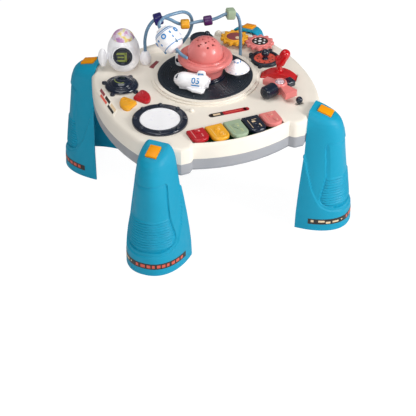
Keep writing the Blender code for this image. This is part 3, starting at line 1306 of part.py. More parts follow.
def build_joystick():
    """The cover is a thick sector on the axle, seen as a saddle in its slot."""
    rim = arc((0, 0), STICK_RADIUS, 90 - STICK_HALF_ANGLE, 90 + STICK_HALF_ANGLE, 14)
    hub = arc((0, 0), STICK_HUB_RADIUS, 180, 360, 8)
    sector = plate_mesh(rim + hub, -STICK_WIDTH / 2, STICK_WIDTH / 2, (arc((0, 0), AXLE_RADIUS + GAP, 0, 337.5, 15),))
    sector.transform(Matrix.Rotation(math.pi / 2, 4, "X"))
    place("joystick_cover", sector, "red", (STICK_X, STICK_Y, STICK_AXLE_Z), about_z(STICK_TURN))
    low = STICK_RADIUS + GAP
    stem = cylinder_mesh(STICK_STEM_RADIUS, low, low + STEM_LENGTH, SMALL_STEPS)
    grip_profile = capsule_profile(GRIP_RADIUS, GRIP_LENGTH, GRIP_RADIUS / 2)
    bottom = GRIP_RADIUS / 4
    grip_profile = grip_profile[:-2] + [(GRIP_RADIUS, bottom), (GRIP_RADIUS - bottom, 0), (0, 0)]
    grip = moved(turned_mesh(grip_profile, SMALL_STEPS), (0, 0, low + STEM_LENGTH - 2 * bottom),
                 Matrix.Rotation(math.radians(GRIP_LEAN), 4, "Y"))
    place("joystick_handle", unite(stem, grip), "red", (STICK_X, STICK_Y, STICK_AXLE_Z), about_z(STICK_TURN))


# Spinner

def build_spinner():
    low = SPIN_ARM_LOW
    high = low + SPIN_ARM_THICK
    middle = (low + high) / 2
    hub = turned_mesh([(0, SPIN_HUB_HEIGHT), (SPIN_HUB_RADIUS, SPIN_HUB_HEIGHT), (SPIN_HUB_RADIUS, GAP),
                       (STEM_RADIUS, GAP), (STEM_RADIUS, -STEM_DROP), (0, -STEM_DROP)], SMALL_STEPS)
    inner = SPIN_HUB_RADIUS / 2
    reach = SPIN_ARM_REACH
    arm = rounded_box((reach - inner, SPIN_ARM_WIDTH, SPIN_ARM_THICK), SPIN_ARM_THICK / 5,
                      ((reach + inner) / 2, 0, middle), 1)
    moved(arm, turn=about_z(SPIN_ARM_ANGLE))
    share_near = 0.4
    outline = [(inner, -SPIN_WEDGE_WIDTH / 2 * share_near), (SPIN_WEDGE_REACH, -SPIN_WEDGE_WIDTH / 2),
               (SPIN_WEDGE_REACH, SPIN_WEDGE_WIDTH / 2), (inner, SPIN_WEDGE_WIDTH / 2 * share_near)]
    wedge = plate_mesh(rounded_corners(outline, [0, KEY_EDGE, KEY_EDGE, 0], 2), low, high)
    moved(wedge, turn=about_z(SPIN_WEDGE_ANGLE))
    pegs = []
    for angle in (SPIN_DRUM_ANGLE, SPIN_SLAB_ANGLE):
        peg = cylinder_mesh(SPIN_PEG_RADIUS, inner, SPIN_PEG_REACH, 12)
        lay = about_z(angle) @ Matrix.Rotation(math.pi / 2, 4, "Y")
        pegs.append(moved(peg, (0, 0, middle), lay))
    centre = (SPIN_X, SPIN_Y, DECK_TOP)
    place("spinner_cross", unite(hub, arm, wedge, *pegs), "pink", centre)
    hole = SPIN_PEG_RADIUS + GAP
    edge = SPIN_DRUM_RADIUS / 5
    drum = turned_mesh([(0, SPIN_DRUM_FAR), (SPIN_DRUM_RADIUS - edge, SPIN_DRUM_FAR),
                        (SPIN_DRUM_RADIUS, SPIN_DRUM_FAR - edge), (SPIN_DRUM_RADIUS, SPIN_DRUM_NEAR + edge),
                        (SPIN_DRUM_RADIUS - edge, SPIN_DRUM_NEAR), (hole, SPIN_DRUM_NEAR),
                        (hole, SPIN_PEG_REACH + GAP), (0, SPIN_PEG_REACH + GAP)], SMALL_STEPS)

    lay = about_z(SPIN_DRUM_ANGLE) @ Matrix.Rotation(math.pi / 2, 4, "Y")
    place("spinner_drum", moved(drum, (0, 0, middle), lay), "navy", centre)
    slab = rounded_box((SPIN_SLAB_FAR - SPIN_SLAB_NEAR, SPIN_SLAB_WIDTH, SPIN_SLAB_THICK), SPIN_SLAB_THICK / 6,
                       ((SPIN_SLAB_FAR + SPIN_SLAB_NEAR) / 2, 0, middle), 1)
    bore = cylinder_mesh(hole, 0, SPIN_PEG_REACH + GAP, 12)
    slab = cut(slab, moved(bore, (0, 0, middle), Matrix.Rotation(math.pi / 2, 4, "Y")))
    place("spinner_slab", moved(slab, turn=about_z(SPIN_SLAB_ANGLE)), "navy", centre)
    lens = turned_mesh(capsule_profile(SPIN_LENS_RADIUS, SPIN_LENS_HEIGHT, SPIN_LENS_HEIGHT * 0.8,
                                       SPIN_HUB_HEIGHT + GAP), SMALL_STEPS)
    place("spinner_lens", lens, "clear", centre)


def build_knob():
    neck = KNOB_NECK
    reach = math.degrees(math.acos(neck / KNOB_RADIUS))
    ball = [polar(KNOB_RADIUS, 90 - (90 + reach) * step / 6, (0, KNOB_LIFT)) for step in range(1, 7)]
    under = -WALL - GAP
    foot = 2 * neck
    profile = [(0, KNOB_LIFT + KNOB_RADIUS)] + ball + [(neck, under), (foot, under), (foot, under - WALL / 2),
                                                       (0, under - WALL / 2)]
    place("slide_knob", turned_mesh(profile, 16), "navy", (KNOB_X, KNOB_Y, DECK_TOP))


clear_scene()
parts = collection("activity_table")
cutters = collection("cutters")
build_deck()
build_tray()
build_tray_contents()
build_legs()
build_turntable()
build_riders()
build_wires()
build_robot()
build_drum()
build_cymbal()
build_picks()
build_keys()
build_gears()
build_dials()
build_joystick()
build_spinner()
build_knob()
print("activity table:", len(parts.objects), "nodes")
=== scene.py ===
import json
import math

import bmesh
import bpy
from mathutils import Matrix, Vector


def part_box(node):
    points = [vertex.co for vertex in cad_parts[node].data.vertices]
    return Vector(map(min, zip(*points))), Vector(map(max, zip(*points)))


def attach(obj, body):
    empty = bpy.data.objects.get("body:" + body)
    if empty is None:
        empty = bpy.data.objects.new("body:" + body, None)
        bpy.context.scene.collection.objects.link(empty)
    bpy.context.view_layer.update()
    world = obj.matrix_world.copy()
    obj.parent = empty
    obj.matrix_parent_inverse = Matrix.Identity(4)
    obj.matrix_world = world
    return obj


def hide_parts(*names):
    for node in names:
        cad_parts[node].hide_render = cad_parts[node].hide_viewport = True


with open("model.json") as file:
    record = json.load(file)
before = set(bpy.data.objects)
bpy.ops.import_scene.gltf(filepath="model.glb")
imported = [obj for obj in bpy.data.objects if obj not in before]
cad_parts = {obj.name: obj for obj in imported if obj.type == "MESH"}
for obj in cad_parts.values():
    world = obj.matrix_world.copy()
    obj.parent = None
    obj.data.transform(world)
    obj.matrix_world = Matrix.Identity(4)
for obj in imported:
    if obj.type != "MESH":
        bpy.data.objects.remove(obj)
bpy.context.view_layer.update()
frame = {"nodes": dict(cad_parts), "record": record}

mm = 0.001
shrink = Matrix.Diagonal((mm, mm, mm, 1))  # shapes are drawn in millimetres and shrunk when they are put


def linearColour(hexCode):
    # sRGB hex to the linear values that the shader wants
    channels = [int(hexCode[i:i + 2], 16) / 255 for i in (1, 3, 5)]
    return [c / 12.92 if c <= 0.04045 else ((c + 0.055) / 1.055) ** 2.4 for c in channels] + [1]


def addNode(tree, kind, settings=None, inputs=None):
    # settings are the node's own properties, inputs are socket values or (node, socket) links
    node = tree.nodes.new(kind)
    for key, value in (settings or {}).items():
        setattr(node, key, value)
    for key, value in (inputs or {}).items():
        if isinstance(value, tuple) and hasattr(value[0], "outputs"):
            tree.links.new(value[0].outputs[value[1]], node.inputs[key])
        else:
            node.inputs[key].default_value = value
    return node


# finishes: colour, roughness, grain size in mm and its depth, coat, how far the colour drifts
finishes = {
    # ABS from a spark-eroded mould: warm cream, satin, very fine even grain
    "creamAbs": ("#F3EBDE", 0.42, 1.1, 0.05, 0.08, 0.025),
    # ABS, matt: the lower tray hides scuffs
    "greyAbs": ("#A2A3A8", 0.5, 1.2, 0.07, 0, 0.03),
    # polypropylene legs: saturated turquoise with a soft sheen
    "turquoisePp": ("#0599BC", 0.52, 1.4, 0.05, 0, 0.03),
    # acetal latch buttons: warm orange, slicker than the legs
    "orangeAcetal": ("#FB9E00", 0.4, 0.9, 0.04, 0, 0.03),
    # polished mould ABS: nearly black blue with sharp highlights
    "navyAbs": ("#0D1A2E", 0.16, 2.5, 0.02, 0.5, 0.05),
    # rubbery soft-touch disc
    "slateSoftTouch": ("#1E2833", 0.36, 0.8, 0.08, 0, 0.06),
    "pinkAbs": ("#E5827E", 0.3, 1.3, 0.04, 0.15, 0.03),
    "redAbs": ("#CB0714", 0.2, 2.0, 0.02, 0.45, 0.04),
    # white ABS, a cool tint beside the cream
    "whiteAbs": ("#F9F8FC", 0.3, 1.5, 0.03, 0.2, 0.015),
    # steel wire dipped in blue-grey plastisol
    "wirePlastisol": ("#6F94B2", 0.26, 3.0, 0.02, 0.35, 0.06),
    # glass-fibre laminate under solder mask
    "solderMask": ("#1E5A32", 0.35, 0.6, 0.03, 0.2, 0.1),
    # printed paper under a clear film
    "printBlack": ("#2A2622", 0.38, 0.7, 0.02, 0.1, 0.08),
    "printSand": ("#E9CFA9", 0.45, 0.7, 0.02, 0.1, 0.05),
    "printBlue": ("#1786CB", 0.35, 0.9, 0.02, 0.1, 0.04),
}
# coloured ABS: colour, roughness and drift
dyes = {"keyRedAbs": ("#BC1522", 0.33, 0.05), "yellowAbs": ("#F2AC25", 0.33, 0.04), "sageAbs": ("#A0B496", 0.35, 0.04),
        "purpleAbs": ("#4B1C5C", 0.32, 0.05), "indigoAbs": ("#1B1565", 0.32, 0.05)}
for dye, (colour, rough, drift) in dyes.items():
    finishes[dye] = (colour, rough, 1.1, 0.05, 0.15, drift)
inks = {"printMaroon": "#8E4247", "printPaleRed": "#E9A7A3", "printPaleYellow": "#F8D183", "printPaleSage": "#C3C994",
        "printPalePink": "#EDB39B", "printKeyRed": "#B51F2B", "printCoral": "#DB5A48", "printOlive": "#8E9A4E"}
for ink, colour in inks.items():
    finishes[ink] = (colour, 0.4, 0.7, 0.02, 0.1, 0.05)
shines = {"turquoisePp": 0.3, "orangeAcetal": 0.2}  # mirror level where it isn't the usual
scatterAndPaintedGlow = {"whiteAbs": 0.35}  # light that wanders under the skin of pale ABS, and a painted glow: a faint emission that lifts the shade of the whites


def newMaterial(name):
    found = bpy.data.materials.new(name)
    found.use_nodes = True
    return found, found.node_tree, found.node_tree.nodes["Principled BSDF"]


def setInputs(shader, values):
    for socket, value in values.items():
        shader.inputs[socket].default_value = value


def texture(tree, kind, scale, inputs=None):
    # a pattern on the object's own coordinates
    place = addNode(tree, "ShaderNodeTexCoord")
    return addNode(tree, "ShaderNodeTex" + kind, None, {"Vector": (place, "Object"), "Scale": scale, **(inputs or {})})


def roughen(tree, shader, height, strength, distance):
    bump = addNode(tree, "ShaderNodeBump", None, {"Height": height, "Strength": strength, "Distance": distance * mm})
    tree.links.new(bump.outputs["Normal"], shader.inputs["Normal"])


def mouldedPlastic(name):
    # base colour drifts a little, roughness breathes, and a fine grain breaks the highlight
    found = bpy.data.materials.get(name)
    if found:
        return found
    colour, rough, grain, depth, coat, drift = finishes[name]
    found, tree, shader = newMaterial(name)
    base = linearColour(colour)[:3]
    flow = texture(tree, "Noise", 28.0, {"Detail": 3.0})
    tint = addNode(tree, "ShaderNodeMix", {"data_type": "RGBA"}, {0: (flow, "Fac")})
    tint.inputs["A"].default_value = [c * (1 - drift * 2) for c in base] + [1]
    tint.inputs["B"].default_value = [min(c * (1 + drift), 1) for c in base] + [1]
    tree.links.new(tint.outputs["Result"], shader.inputs["Base Color"])
    wear = texture(tree, "Noise", 90.0, {"Detail": 4.0})
    breathe = addNode(tree, "ShaderNodeMapRange", None,
                      {0: (wear, "Fac"), 1: 0.3, 2: 0.7, 3: rough * 0.88, 4: rough * 1.14})
    tree.links.new(breathe.outputs[0], shader.inputs["Roughness"])
    roughen(tree, shader, (texture(tree, "Noise", 1 / (grain * mm), {"Detail": 2.0}), "Fac"), depth, 0.2)
    # subsurface is the skin's real scattering; the emission is painted glow that brightens the shaded side of pale ABS
    glow = scatterAndPaintedGlow.get(name, 0.0)
    setInputs(shader, {"IOR": 1.5, "Specular IOR Level": shines.get(name, 0.4), "Coat Weight": coat,
                       "Coat Roughness": 0.08, "Subsurface Weight": glow, "Subsurface Radius": (1.0, 1.0, 1.0),
                       "Subsurface Scale": 6 * mm, "Emission Strength": 0.2 * glow})
    return found


def drumSkin():
    # white elastomer pad with a fine pebbled surface; a copy of the white, so it keeps its painted glow
    found = mouldedPlastic("whiteAbs").copy()
    found.name = "pebbledElastomer"
    tree = found.node_tree
    cells = texture(tree, "Voronoi", 1 / (1.5 * mm))
    roughen(tree, tree.nodes["Principled BSDF"], (cells, "Distance"), 0.35, 0.25)
    return found


def pearlPlastic():
    # vacuum-coated lamp cap: pastel patches that drift from violet to yellow
    found, tree, shader = newMaterial("pearlCoatedPolycarbonate")
    patches = texture(tree, "Noise", 75.0, {"Detail": 2.0, "Distortion": 0.6})
    ramp = addNode(tree, "ShaderNodeValToRGB", None, {"Fac": (patches, "Fac")})
    stops = ((0.25, "#8E7BC8"), (0.75, "#E79A9A"), (0.42, "#D9A0C4"), (0.52, "#E9E3F2"), (0.62, "#F4E27C"))
    elements = ramp.color_ramp.elements
    for element, (position, colour) in zip(elements, stops):
        element.position = position
        element.color = linearColour(colour)
    for position, colour in stops[2:]:
        elements.new(position).color = linearColour(colour)
    tree.links.new(ramp.outputs["Color"], shader.inputs["Base Color"])
    setInputs(shader, {"Roughness": 0.38, "Metallic": 0.05, "Coat Weight": 0.1})
    return found


def clearPlastic():
    # clear polystyrene lens over a pink hub
    found, tree, shader = newMaterial("clearPolystyrene")
    roughen(tree, shader, (texture(tree, "Noise", 240.0), "Fac"), 0.1, 0.2)
    setInputs(shader, {"Base Color": linearColour("#F3DDE4"), "Roughness": 0.06, "IOR": 1.59,
                       "Transmission Weight": 0.55, "Coat Weight": 0.5})
    return found


def steelPin():
    # ground steel rod with a fine turned lay
    found, tree, shader = newMaterial("groundSteel")
    roughen(tree, shader, (texture(tree, "Noise", 600.0), "Fac"), 0.1, 0.1)
    setInputs(shader, {"Base Color": linearColour("#B9BCC2"), "Metallic": 1.0, "Roughness": 0.28})
    return found


# camera at the photograph's angle, fitted to the legs and latch buttons
camera = {"place": (-0.8706, -2.0585, 1.5999), "down": 53.56, "round": -23.09, "fieldOfView": 16.15}


def linked(name, data):
    # an object of the data, in the scene
    holder = bpy.data.objects.new(name, data)
    bpy.context.scene.collection.objects.link(holder)
    return holder


def setCamera():
    lens = bpy.data.cameras.new("photoCamera")
    lens.sensor_fit = "HORIZONTAL"
    lens.angle = math.radians(camera["fieldOfView"])
    holder = linked("photoCamera", lens)
    holder.location = camera["place"]
    holder.rotation_euler = (math.radians(camera["down"]), 0, math.radians(camera["round"]))
    bpy.context.scene.camera = holder


# name: place, width, watts; all aim at the deck
lamps = {
    "keySoftbox": ((1.35, -1.5, 1.05), 0.75, 33.0),
    "topSoftbox": ((-0.2, 0.1, 2.0), 1.1, 12.5),
    "fillSoftbox": ((-1.15, -1.95, 1.35), 0.9, 17.0),
}
room = {"aim": (0, 0, 0.2), "plainLevel": 0.2, "mirroredLevel": 0.22,
        "floorSize": 6, "floorGlow": 1.1, "glowShare": 0.87}


def setLight():
    for name, (place, width, watts) in lamps.items():
        lamp = bpy.data.lights.new(name, "AREA")
        lamp.size = width
        lamp.energy = watts
        holder = linked(name, lamp)
        holder.location = place
        holder.rotation_euler = (Vector(room["aim"]) - Vector(place)).to_track_quat("-Z", "Y").to_euler()
    world = bpy.data.worlds.new("paleRoom")
    world.use_nodes = True
    tree = world.node_tree
    background = tree.nodes["Background"]
    background.inputs["Color"].default_value = (1, 1, 1, 1)
    rays = addNode(tree, "ShaderNodeLightPath")
    direct = addNode(tree, "ShaderNodeMath", {"operation": "MAXIMUM"},
                     {0: (rays, "Is Camera Ray"), 1: (rays, "Is Transmission Ray")})
    mirrored = addNode(tree, "ShaderNodeMapRange", None,
                       {0: (rays, "Is Glossy Ray"), 3: room["plainLevel"], 4: room["mirroredLevel"]})
    level = addNode(tree, "ShaderNodeMath", {"operation": "MAXIMUM"}, {0: (direct, 0), 1: (mirrored, 0)})
    tree.links.new(level.outputs[0], background.inputs["Strength"])
    bpy.context.scene.world = world
    bpy.context.scene.view_settings.view_transform = "Standard"


def meshOf(work):
    mesh = bpy.data.meshes.new("shape")
    work.to_mesh(mesh)
    work.free()
    return mesh


def layFloor():
    # white sweep: camera rays see it white, and it still takes the shadow
    work = bmesh.new()
    bmesh.ops.create_grid(work, x_segments=1, y_segments=1, size=room["floorSize"])
    floor = linked("paperFloor", meshOf(work))
    paper, tree, shader = newMaterial("matPaper")
    setInputs(shader, {"Base Color": linearColour("#FAFAFA"), "Roughness": 0.9})
    glow = addNode(tree, "ShaderNodeEmission", None, {"Color": (1, 1, 1, 1), "Strength": room["floorGlow"]})
    rays = addNode(tree, "ShaderNodeLightPath")
    share = addNode(tree, "ShaderNodeMath", {"operation": "MULTIPLY"},
                    {0: (rays, "Is Camera Ray"), 1: room["glowShare"]})
    blend = addNode(tree, "ShaderNodeMixShader", None, {"Fac": (share, 0), 1: (shader, "BSDF"), 2: (glow, "Emission")})
    tree.links.new(blend.outputs["Shader"], tree.nodes["Material Output"].inputs["Surface"])
    floor.data.materials.append(paper)


def bodyOf(node):
    return next(body for body, nodes in frame["record"]["behaviour"]["bodies"].items() if node in nodes)


def slotOf(node):
    return next(entry["material_slot"] for entry in frame["record"]["subparts"] if entry["node"] == node)


def setPiece(name, mesh, finish, body, angle):
    # one finished piece: smooth and riding on its body
    piece = linked(name, mesh)
    mesh.name = name
    mesh.materials.clear()
    mesh.materials.append(mouldedPlastic(finish) if isinstance(finish, str) else finish)
    mesh.shade_smooth()
    mesh.set_sharp_from_angle(angle=math.radians(angle))
    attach(piece, body)
    return piece


def putPiece(name, mesh, finish, body="table", angle=40):
    # an extra piece, drawn in millimetres
    mesh.transform(shrink)
    return setPiece(name, mesh, finish, body, angle)


def standIn(node, piece):
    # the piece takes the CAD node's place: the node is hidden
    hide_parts(node)
    slotOf(node)
    return piece


def putFor(node, name, mesh, finish, angle=50):
    return standIn(node, putPiece(name, mesh, finish, bodyOf(node), angle))


def dressNode(node, finish, edge=0.0, angle=40, segments=2):
    # the node's own solid, welded, with its sharp edges rounded by a small bevel
    work = bmesh.new()
    work.from_mesh(frame["nodes"][node].data)
    bmesh.ops.transform(work, matrix=frame["nodes"][node].matrix_world, verts=work.verts)
    bmesh.ops.remove_doubles(work, verts=work.verts, dist=0.004 * mm)
    bmesh.ops.dissolve_limit(work, angle_limit=math.radians(1), verts=work.verts, edges=work.edges)
    piece = standIn(node, setPiece(node + "_skin", meshOf(work), finish, bodyOf(node), angle))
    if edge:
        rounding = piece.modifiers.new("edge", "BEVEL")
        rounding.width = edge * mm
        rounding.segments = segments
        rounding.limit_method = "ANGLE"
        rounding.angle_limit = math.radians(angle)
        rounding.use_clamp_overlap = True


def shift(x=0.0, y=0.0, z=0.0):
    return Matrix.Translation((x, y, z))


def turned(degrees, axis="Z"):
    return Matrix.Rotation(math.radians(degrees), 4, axis)


def polar(reach, degrees, centre=(0, 0)):
    return (centre[0] + reach * math.cos(math.radians(degrees)), centre[1] + reach * math.sin(math.radians(degrees)))


def boxOf(node):
    # two corners in millimetres
    return [Vector(corner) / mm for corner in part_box(node)]


def middleOf(node):
    low, high = boxOf(node)
    return (low + high) / 2


def placed(mesh, place):
    mesh.transform(place)
    return mesh


def spunMesh(profile, place=Matrix(), steps=96, sweep=360):
    # (radius, height) points turned about Z, then set in place
    work = bmesh.new()
    points = [work.verts.new((r, 0, z)) for r, z in profile]
    edges = [work.edges.new(pair) for pair in zip(points, points[1:])]
    bmesh.ops.spin(work, geom=points + edges, cent=(0, 0, 0), axis=(0, 0, 1), angle=math.radians(sweep), steps=steps,
                   use_merge=sweep == 360)
    bmesh.ops.remove_doubles(work, verts=work.verts, dist=0.002)
    bmesh.ops.recalc_face_normals(work, faces=work.faces)
    return placed(meshOf(work), place)


def spunAt(profile, middle, steps=96):
    return spunMesh(profile, shift(middle[0], middle[1]), steps)


def rodMesh(radius, low, high, place=Matrix(), steps=32):
    return spunMesh([(0, high), (radius, high), (radius, low), (0, low)], place, steps)


def arcPoints(centre, radius, start, end, count):
    # points on an arc in the profile's plane, angles in degrees
    return [polar(radius, start + (end - start) * step / count, centre) for step in range(count + 1)]


def smoothPoints(points, count=6):
    # a Catmull-Rom run through the points, its ends kept
    out = []
    ends = [points[0]] + list(points) + [points[-1]]
    for a, b, c, d in zip(ends, ends[1:], ends[2:], ends[3:]):
        for step in range(count):
            t = step / count
            weights = (-0.5 * t + t * t - 0.5 * t ** 3, 1 - 2.5 * t * t + 1.5 * t ** 3,
                       0.5 * t + 2 * t * t - 1.5 * t ** 3, 0.5 * (t ** 3 - t * t))
            out.append(tuple(sum(w * p[k] for w, p in zip(weights, (a, b, c, d))) for k in range(len(a))))
    return out + [tuple(points[-1])]


def bevelled(work, edges, edge, segments):
    bmesh.ops.bevel(work, geom=edges, offset=edge, segments=segments, profile=0.5, affect="EDGES", material=-1)


def flatMesh(outline, low, high, edge=0.0, segments=2):
    # a flat outline raised between two heights, its upper rim rounded
    work = bmesh.new()
    base = work.faces.new([work.verts.new((x, y, low)) for x, y in outline])
    raised = bmesh.ops.extrude_face_region(work, geom=[base])
    top = [v for v in raised["geom"] if isinstance(v, bmesh.types.BMVert)]
    bmesh.ops.translate(work, vec=(0, 0, high - low), verts=top)
    bmesh.ops.recalc_face_normals(work, faces=work.faces)
    if edge:
        bevelled(work, [e for e in work.edges if all(v.co.z > (low + high) / 2 for v in e.verts)], edge, segments)
    return meshOf(work)


def ballMesh(radius, place, squash=(1, 1, 1), divisions=24):
    work = bmesh.new()
    bmesh.ops.create_uvsphere(work, u_segments=divisions * 2, v_segments=divisions, radius=radius)
    bmesh.ops.scale(work, vec=squash, verts=work.verts)
    return placed(meshOf(work), shift(*place))


def blockMesh(size, place=(0, 0, 0), edge=0.0, segments=3):
    work = bmesh.new()
    bmesh.ops.create_cube(work, size=1)
    bmesh.ops.scale(work, vec=size, verts=work.verts)
    if edge:
        bevelled(work, work.edges[:], edge, segments)
    return placed(meshOf(work), shift(*place))


def slabMesh(width, height, place):
    # a thin printed patch with fully rounded corners and softened rims
    depth, edge = 0.4, 0.1
    work = bmesh.new()
    bmesh.ops.create_cube(work, size=1)
    bmesh.ops.scale(work, vec=(width, height, depth), verts=work.verts)
    upright = [e for e in work.edges if abs(e.verts[0].co.z - e.verts[1].co.z) > depth / 2]
    bevelled(work, upright, min(width, height) * 0.48, 6)
    rim = [e for e in work.edges if e.is_manifold and all(v.co.z > 0 for v in e.verts) and e.calc_face_angle() > 1.2]
    bevelled(work, rim, edge, 4)
    return placed(meshOf(work), place)


def gathered(meshes, place=Matrix()):
    # loose pieces of one moulding kept in one mesh
    work = bmesh.new()
    for mesh in meshes:
        work.from_mesh(mesh)
    return placed(meshOf(work), place)


def bakedMesh(holder):
    # the shape with its modifiers or curve bevel applied
    bpy.context.view_layer.update()
    return bpy.data.meshes.new_from_object(holder.evaluated_get(bpy.context.evaluated_depsgraph_get()))


def curveMesh(curve):
    holder = linked("curve", curve)
    mesh = bakedMesh(holder)
    bpy.data.objects.remove(holder)
    return mesh


def digitsMesh(text, size, deep):
    # plain digits from the built-in typeface, centred on their own middle
    curve = bpy.data.curves.new("digits", "FONT")
    curve.body = text
    curve.size = size
    curve.align_x = curve.align_y = "CENTER"
    curve.offset = size * 0.02
    curve.extrude = deep
    return curveMesh(curve)


def carve(piece, drills, angle=40):
    # the drills' shapes are cut out of the piece, with its other modifiers applied first
    holders = []
    for drill in drills:
        holders.append(linked("drill", placed(drill, shrink)))
        cut = piece.modifiers.new("cut", "BOOLEAN")
        cut.solver = "EXACT"
        cut.object = holders[-1]
    bored = bakedMesh(piece)
    piece.modifiers.clear()
    for holder in holders:
        bpy.data.objects.remove(holder)
    piece.data = bored
    bored.shade_smooth()
    bored.set_sharp_from_angle(angle=math.radians(angle))


setCamera()
setLight()
layFloor()
print("camera, lamps and floor set")

leg = {
    # height, chord place, back place, half width; the back of the top rows sits lower by drop
    "rows": ((0, 197.5, 280.1, 53.6, 0), (31, 198.2, 278.9, 52.6, 0), (60, 199.6, 276.6, 50.2, 0),
             (90, 200.9, 273.5, 46.6, 0), (120, 202.6, 270.3, 42.4, 0), (150, 204.3, 267.4, 37.6, 0),
             (172, 204.3, 265.6, 34.6, 0), (190, 204.3, 262.5, 32.2, 1), (204, 204.3, 258.5, 30.5, 3),
             (212, 204.3, 255.6, 28.7, 5), (217, 204.3, 253, 27, 7), (222, 204, 249.4, 24.2, 8.4),
             (226.3, 203.6, 245, 20.6, 10.2), (228, 203.5, 240, 17, 9.95)),
    "corners": {"front_left": -135, "front_right": -45, "back_left": 135, "back_right": 45},
    "latchPlace": 227.6, "slant": math.atan2(10.5, 38.5), "latchHole": (26.8, 20.8, 12),
    "across": 124, "upright": 250, "power": 2.3, "wall": 2.6, "mmPerTurn": 170, "capShare": 0.06,
    # height and half width of the sunken grip panel, the half width as a share of the way round
    "panel": ((43.2, 0.0), (43.8, 0.13), (45.5, 0.21), (49, 0.28), (54, 0.33), (61, 0.352), (75, 0.344), (92, 0.322),
              (110, 0.305), (140, 0.313), (163, 0.324), (169, 0.322), (173, 0.308), (175, 0.28)),
    "panelDepth": 3.0, "panelEdge": 1.8, "panelCrown": 1.5, "crownReach": 9, "panelEndSlope": 1.2,
    "ribFrom": 50, "ribTo": 106, "ribPitch": 5.1, "ribDepth": 1.7, "ribFade": 2.5, "ribRound": 0.7,
    # height of the boot's upper edge by the share of the way from the front to the side
    "boot": ((0.0, 37.5), (0.2, 37.8), (0.5, 41.5), (0.62, 47), (0.7, 54), (0.83, 82), (0.94, 124), (1.0, 150)),
    "bootProud": 2.4, "bootEdge": 2.2,
    "band": (0.075, 0.925, 13.5, 24.5), "bandProud": 0.2, "blockProud": 0.35,
    # printed blocks on the band: start, end round the leg, bottom, top
    "blocks": {"printSand": ((0.095, 0.115, 17.5, 22.5), (0.15, 0.2, 18, 22), (0.21, 0.25, 15.5, 19.5),
                             (0.27, 0.33, 16.5, 20), (0.36, 0.375, 18, 20.5)),
               "printCoral": [(0.43 + 0.048 * k, 0.43 + 0.048 * k + (0.034 if k % 3 else 0.026), 16, 22)
                              for k in range(10)]},
}


def between(table, key):
    # a value read from a table of rising keys, straight between its entries
    if key <= table[0][0]:
        return list(table[0][1:])
    for low, high in zip(table, table[1:]):
        if key <= high[0]:
            share = (key - low[0]) / (high[0] - low[0])
            return [a + (b - a) * share for a, b in zip(low[1:], high[1:])]
    return list(table[-1][1:])


def eased(value):
    value = min(max(value, 0), 1)
    return value * value * (3 - 2 * value)


def legPoint(around, height, proud=0.0):
    # around runs from 0 to 1 round the back of the leg, in the leg's own frame
    inner, back, half, drop = between(leg["rows"], height)
    angle = math.pi * (around - 0.5)
    along = abs(math.cos(angle)) ** (2 / leg["power"])
    across = math.copysign(abs(math.sin(angle)) ** (2 / leg["power"]), math.sin(angle))
    side = abs(around - 0.5)
    upper = between(leg["boot"], side * 2)[0]
    offset = proud + leg["bootProud"] * eased((upper - height) / leg["bootEdge"])
    low, high = leg["panel"][0][0], leg["panel"][-1][0]
    if low < height < high:
        inside = (between(leg["panel"], height)[0] - side) * leg["mmPerTurn"]
        inside = min(inside, (height - low) * leg["panelEndSlope"], (high - height) * leg["panelEndSlope"])
        offset -= leg["panelDepth"] * eased(inside / leg["panelEdge"])
        inside -= leg["panelEdge"]
        offset += leg["panelCrown"] * eased(inside / leg["crownReach"])
        if leg["ribFrom"] < height < leg["ribTo"]:
            wave = 0.5 - 0.5 * math.cos(math.tau * (height - leg["ribFrom"]) / leg["ribPitch"])
            offset += leg["ribDepth"] * wave ** leg["ribRound"] * eased(inside / leg["ribFade"])
    return Vector((inner + (back - inner) * along + offset * abs(math.cos(angle)),
                   across * half + offset * math.sin(angle), height - drop * along))


def mappedGrid(columns, rows, rule, place):
    # a flat grid whose every point is moved by a rule of its two shares
    work = bmesh.new()
    bmesh.ops.create_grid(work, x_segments=columns, y_segments=rows, size=0.5)
    for vert in work.verts:
        vert.co = rule(vert.co.x + 0.5, vert.co.y + 0.5)
    bmesh.ops.remove_doubles(work, verts=work.verts, dist=0.003)
    return placed(meshOf(work), place)


def legPatch(columns, rows, limits, proud, place):
    start, end, low, high = limits

    def rule(s, t):
        return legPoint(start + (end - start) * s, low + (high - low) * t, proud)

    return mappedGrid(columns, rows, rule, place)


def legTop(s, close):
    # the cap closes the top row towards the middle of the chord, on the latch's slant
    top = leg["rows"][-1]
    flat = legPoint(s, top[0]).lerp(Vector((top[1], 0, top[0])), close)
    flat.z = top[0] - math.tan(leg["slant"]) * (flat.x - top[1])
    return flat


def makeLeg(corner, angle):
    node, place, top, wallShare = "leg_" + corner, turned(angle), leg["rows"][-1], 1 - leg["capShare"]

    def rule(s, t):
        return legPoint(s, top[0] * t / wallShare) if t <= wallShare else legTop(s, (t - wallShare) / leg["capShare"])

    mesh = mappedGrid(leg["across"], leg["upright"], rule, place)
    piece = putFor(node, node + "_moulding", mesh, "turquoisePp")
    facing = mesh.polygons[len(mesh.polygons) // 3].normal.dot(Vector((*polar(1, angle), 0)))
    wall = piece.modifiers.new("wall", "SOLIDIFY")
    wall.thickness = leg["wall"] * mm
    wall.offset = -1 if facing > 0 else 1
    wall.use_rim = True
    height = top[0] - math.tan(leg["slant"]) * (leg["latchPlace"] - top[1])
    tilt = place @ shift(leg["latchPlace"], 0, height) @ Matrix.Rotation(leg["slant"], 4, "Y")
    carve(piece, [placed(blockMesh(leg["latchHole"]), tilt)], 50)
    putPiece(node + "_band", legPatch(80, 4, leg["band"], leg["bandProud"], place), "printBlack")
    for ink, blocks in leg["blocks"].items():
        marks = [legPatch(8, 2, block, leg["blockProud"], place) for block in blocks]
        putPiece(f"{node}_band_{ink}", gathered(marks), ink)


for corner, angle in leg["corners"].items():
    makeLeg(corner, angle)
    dressNode("latch_button_" + corner, "orangeAcetal", 0.5, 30)
print("legs made")

